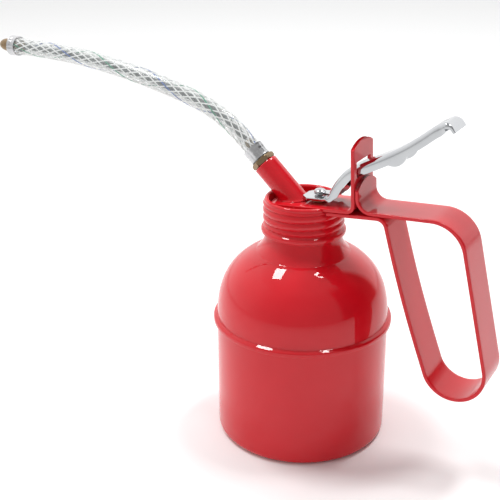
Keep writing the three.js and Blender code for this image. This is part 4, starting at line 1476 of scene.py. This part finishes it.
@dataclass
class Lever:
    """The pressed lever and the head that it lifts."""

    width: float = 16.5
    sheet: float = 1.2
    flange: float = 5.8
    shoulder: float = 2.9
    edge: float = 0.3
    front: float = 1.3
    front_half: float = 4.05
    chamfer: float = 4.2
    pad: float = 0.22
    pad_from: tuple[float, float] = (43.5, 46.0)
    grows_from: tuple[float, float] = (-19.4, -15.6)
    fades_over: tuple[float, float] = (0.5, 13.5)
    ear: float = 2.5
    ear_start: float = 15.4
    ear_length: float = 9.4
    notch: float = 0.9
    notch_start: float = -2.2
    lift: float = 3.85
    rod_clear: float = 1.9
    rod_slot: float = 3.4
    head_radius: float = 3.3
    head_rise: float = 1.62
    head_over_tab: float = 1.42
    crest: Sequence[tuple[float, float]] = (
        (-17.6, -14.5), (-15.8, -10.2), (-13.8, -6.2), (-10.9, -1.9), (-7.3, 2.3), (-2.9, 5.4), (2.7, 8.2),
        (7.6, 10.7), (12.4, 13.3), (20.2, 17.9), (27.8, 23), (33.4, 27.3), (44, 35.4), (47.6, 37), (50.4, 36),
        (53.2, 32.6),
    )
    pivot: float = field(init=False)

    def __post_init__(self) -> None:
        """Finds where the slot's edge stands in the upright, which the lever rocks on."""
        self.pivot = float(LEVEL.upright_x(LEVEL.slot))

    def line(self) -> Array:
        """The crest line: the straight tab, then the curve through the crest's points.

        Returns:
            x and z of each point.
        """
        bend = self.pivot + self.crest[0][0] - 1.6
        curve = smooth([(self.pivot + x, LEVEL.slot + z) for x, z in self.crest], 10)
        x = np.linspace(self.front, bend - 0.6, 30)
        straight = np.stack([x, LEVEL.plate_top(x) + self.lift], -1)
        return resample(np.concatenate([straight, curve[1:]]), 0.45)

    def sizes(self, line: Array) -> list[Array]:
        """Half width, flange depth, shoulder radius and inner shoulder radius along the line.

        The half width widens along the tab's chamfers. The flange's depth grows after the bend, has
        a notch over the slot's edge and a lobe behind it, and dies out at the thumb. The shoulder
        goes from a plain edge on the tab to its full radius on the channel.

        Args:
            line: the crest line.

        Returns:
            Four columns, with a row for each point of the line.
        """
        x, pivot, along = line[:, 0], self.pivot, lengths(line)
        pad = self.pad * ease(x, pivot + self.pad_from[0], pivot + self.pad_from[1])
        widening = np.clip(x - self.front, 0, self.chamfer) / self.chamfer
        half = self.front_half + widening * (self.width / 2 - self.front_half) + pad
        grown = ease(x, pivot + self.grows_from[0], pivot + self.grows_from[1])
        reach = (x - pivot - self.ear_start) / self.ear_length
        inside = (reach > 0) & (reach < 1)
        ear = self.ear * np.where(inside, np.sin(np.pi * np.clip(reach, 0, 1)) ** 0.7, 0.0)
        at_slot = along[np.argmin(np.abs(x - pivot - self.notch_start))]
        rises, falls = ease(along, at_slot - 0.4, at_slot + 0.2), ease(along, at_slot + 4.0, at_slot + 4.8)
        thumb = ease(along[-1] - along, *self.fades_over)
        plain = self.sheet + 0.2
        extra = (self.flange - plain) * grown * thumb + ear - self.notch * (rises - falls) * grown
        shoulder = self.edge + (self.shoulder - self.edge) * np.clip(extra / 3.2, 0, 1)
        inner = np.maximum(shoulder - self.sheet, 0.12)
        return [value[:, None] for value in (half, plain + np.maximum(extra, 0), shoulder, inner)]

    @staticmethod
    def side(half: Array, level: float, radius: Array, depth: Array) -> tuple[Array, Array]:
        """One skin of the channel: a flange, a shoulder, the flat, and both again in mirror image.

        A flange runs straight from its edge up to the shoulder, which is a quarter circle.

        Args:
            half: half width, in a column.
            level: how far this skin lies under the crest line.
            radius: of the shoulder, in a column.
            depth: of the flange's edge, in a column.

        Returns:
            Across and through distances, with a row for each point of the line.
        """
        turn = np.radians(np.linspace(180, 90, 9))[None, :]
        down = np.linspace(1, 0, 6)[None, :-1]
        bend = level + radius
        y = np.concatenate([np.repeat(-half, 5, 1), -half + radius + radius * np.cos(turn)], 1)
        d = np.concatenate([bend + (depth - bend) * down, bend - radius * np.sin(turn)], 1)
        middle = (half - radius) * np.linspace(-1, 1, 12)[None, 1:-1]
        across = np.concatenate([y, middle, -y[:, ::-1]], 1)
        return across, np.concatenate([d, np.full_like(middle, level), d[:, ::-1]], 1)

    def channel(self) -> bpy.types.Object:
        """The lever: its section hung under each point of the crest line, with a slot for the rod.

        Returns:
            The piece.
        """
        line = self.line()
        half, depth, shoulder, inner = self.sizes(line)
        outside = self.side(half, 0.0, shoulder, depth)
        inside = self.side(half - self.sheet, self.sheet, inner, depth)
        across, through = (np.concatenate([out, back[:, ::-1]], 1) for out, back in zip(outside, inside))
        grid = carried(line, across, -through)
        skin = Skin("thumb_lever").grid(grid, False, True)
        middle = grid.shape[1] // 2
        for row in (0, -1):
            skin.grid(np.stack([grid[row, :middle], grid[row, middle:][::-1]]))
        piece = skin.made(38)
        near, far = (LEVEL.pump_x, 0), (LEVEL.pump_x + self.rod_slot, 0)
        ends = np.concatenate([arc(far, self.rod_clear, -90, 90, 16), arc(near, self.rod_clear, 90, 270, 16)])
        levels = np.array([144.0, 156.0])[:, None]
        hole = np.stack(np.broadcast_arrays(ends[None, :, 0], ends[None, :, 1], levels), -1)
        carve(piece, [Skin("rod_cutter").grid(hole, False, True, caps=True).made()], 38)
        return settle(piece, CHROME, Body.LEVER, "lever")

    def head(self) -> bpy.types.Object:
        """The rod's head: half an ellipse over a small flat rim, turned about the rod.

        Returns:
            The piece.
        """
        base = float(LEVEL.plate_top(LEVEL.pump_x)) + self.lift + self.head_over_tab
        angle, rim = np.linspace(0.05, np.pi / 2, 14), base + 0.45
        outline = np.concatenate(
            [
                [(0, base), (self.head_radius - 0.2, base)],
                arc((self.head_radius - 0.2, base + 0.2), 0.2, -90, 0, 4),
                [(self.head_radius, rim)],
                np.stack([self.head_radius * np.cos(angle), rim + self.head_rise * np.sin(angle)], -1),
            ]
        )
        skin = Skin("rod_cap").turned(outline, 64, x=LEVEL.pump_x)
        return settle(skin.made(40), CHROME, Body.PLUNGER, "rod_head")

    def build(self) -> None:
        """Makes the lever and the rod's head."""
        self.channel()
        self.head()


# ------------------------------------------------------------------ the pump's own pieces


@dataclass
class ReturnSpring:
    """The spring over the piston, which shortens as the plunger rises."""

    top: tuple[float, float, float] = (0.01, 0.0, 0.1364)
    length: float = 45.9
    stroke: float = 6.8

    def build(self) -> None:
        """Makes the coil from the frame's own shape."""
        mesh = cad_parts["return_spring"].data.copy()
        merge(mesh, 1e-6)
        mesh.shade_smooth()
        coil = settle(placed("spring_coil", mesh), STEEL, Body.HEAD, "return_spring")
        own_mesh(coil)


DRESS: Sequence[tuple[Finish, Sequence[str]]] = (
    (NITRILE, ("cap_gasket", "rod_packing", "piston_seal")),
    (BRASS, ("spout_eyelet", "rod_gland", "barrel_foot", "piston", "piston_nut")),
    (CAST, ("pump_head",)),
    (
        STEEL,
        (
            "pump_barrel", "ball_retainer", "suction_tube", "strainer", "inlet_ball", "delivery_ball",
            "delivery_spring", "pump_rod", "head_washer",
        ),
    ),
)


def dress_pump() -> None:
    """Gives each piece of the pump its finish, on the shapes that the frame already has."""
    for finish, names in DRESS:
        for name in names:
            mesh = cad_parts[name].data
            mesh.materials.clear()
            mesh.materials.append(finish.material())
            LOG.info("dressed %s", name)


def main() -> None:
    """Builds the studio, then the object from its hose to its pump."""
    logging.basicConfig(level=logging.INFO, format="%(name)s: %(message)s")
    for part in (Studio(), HoseSet(), Can(), Cap(), Frame(), Lever(), ReturnSpring()):
        part.build()
    dress_pump()


if __name__ == "__main__":
    main()
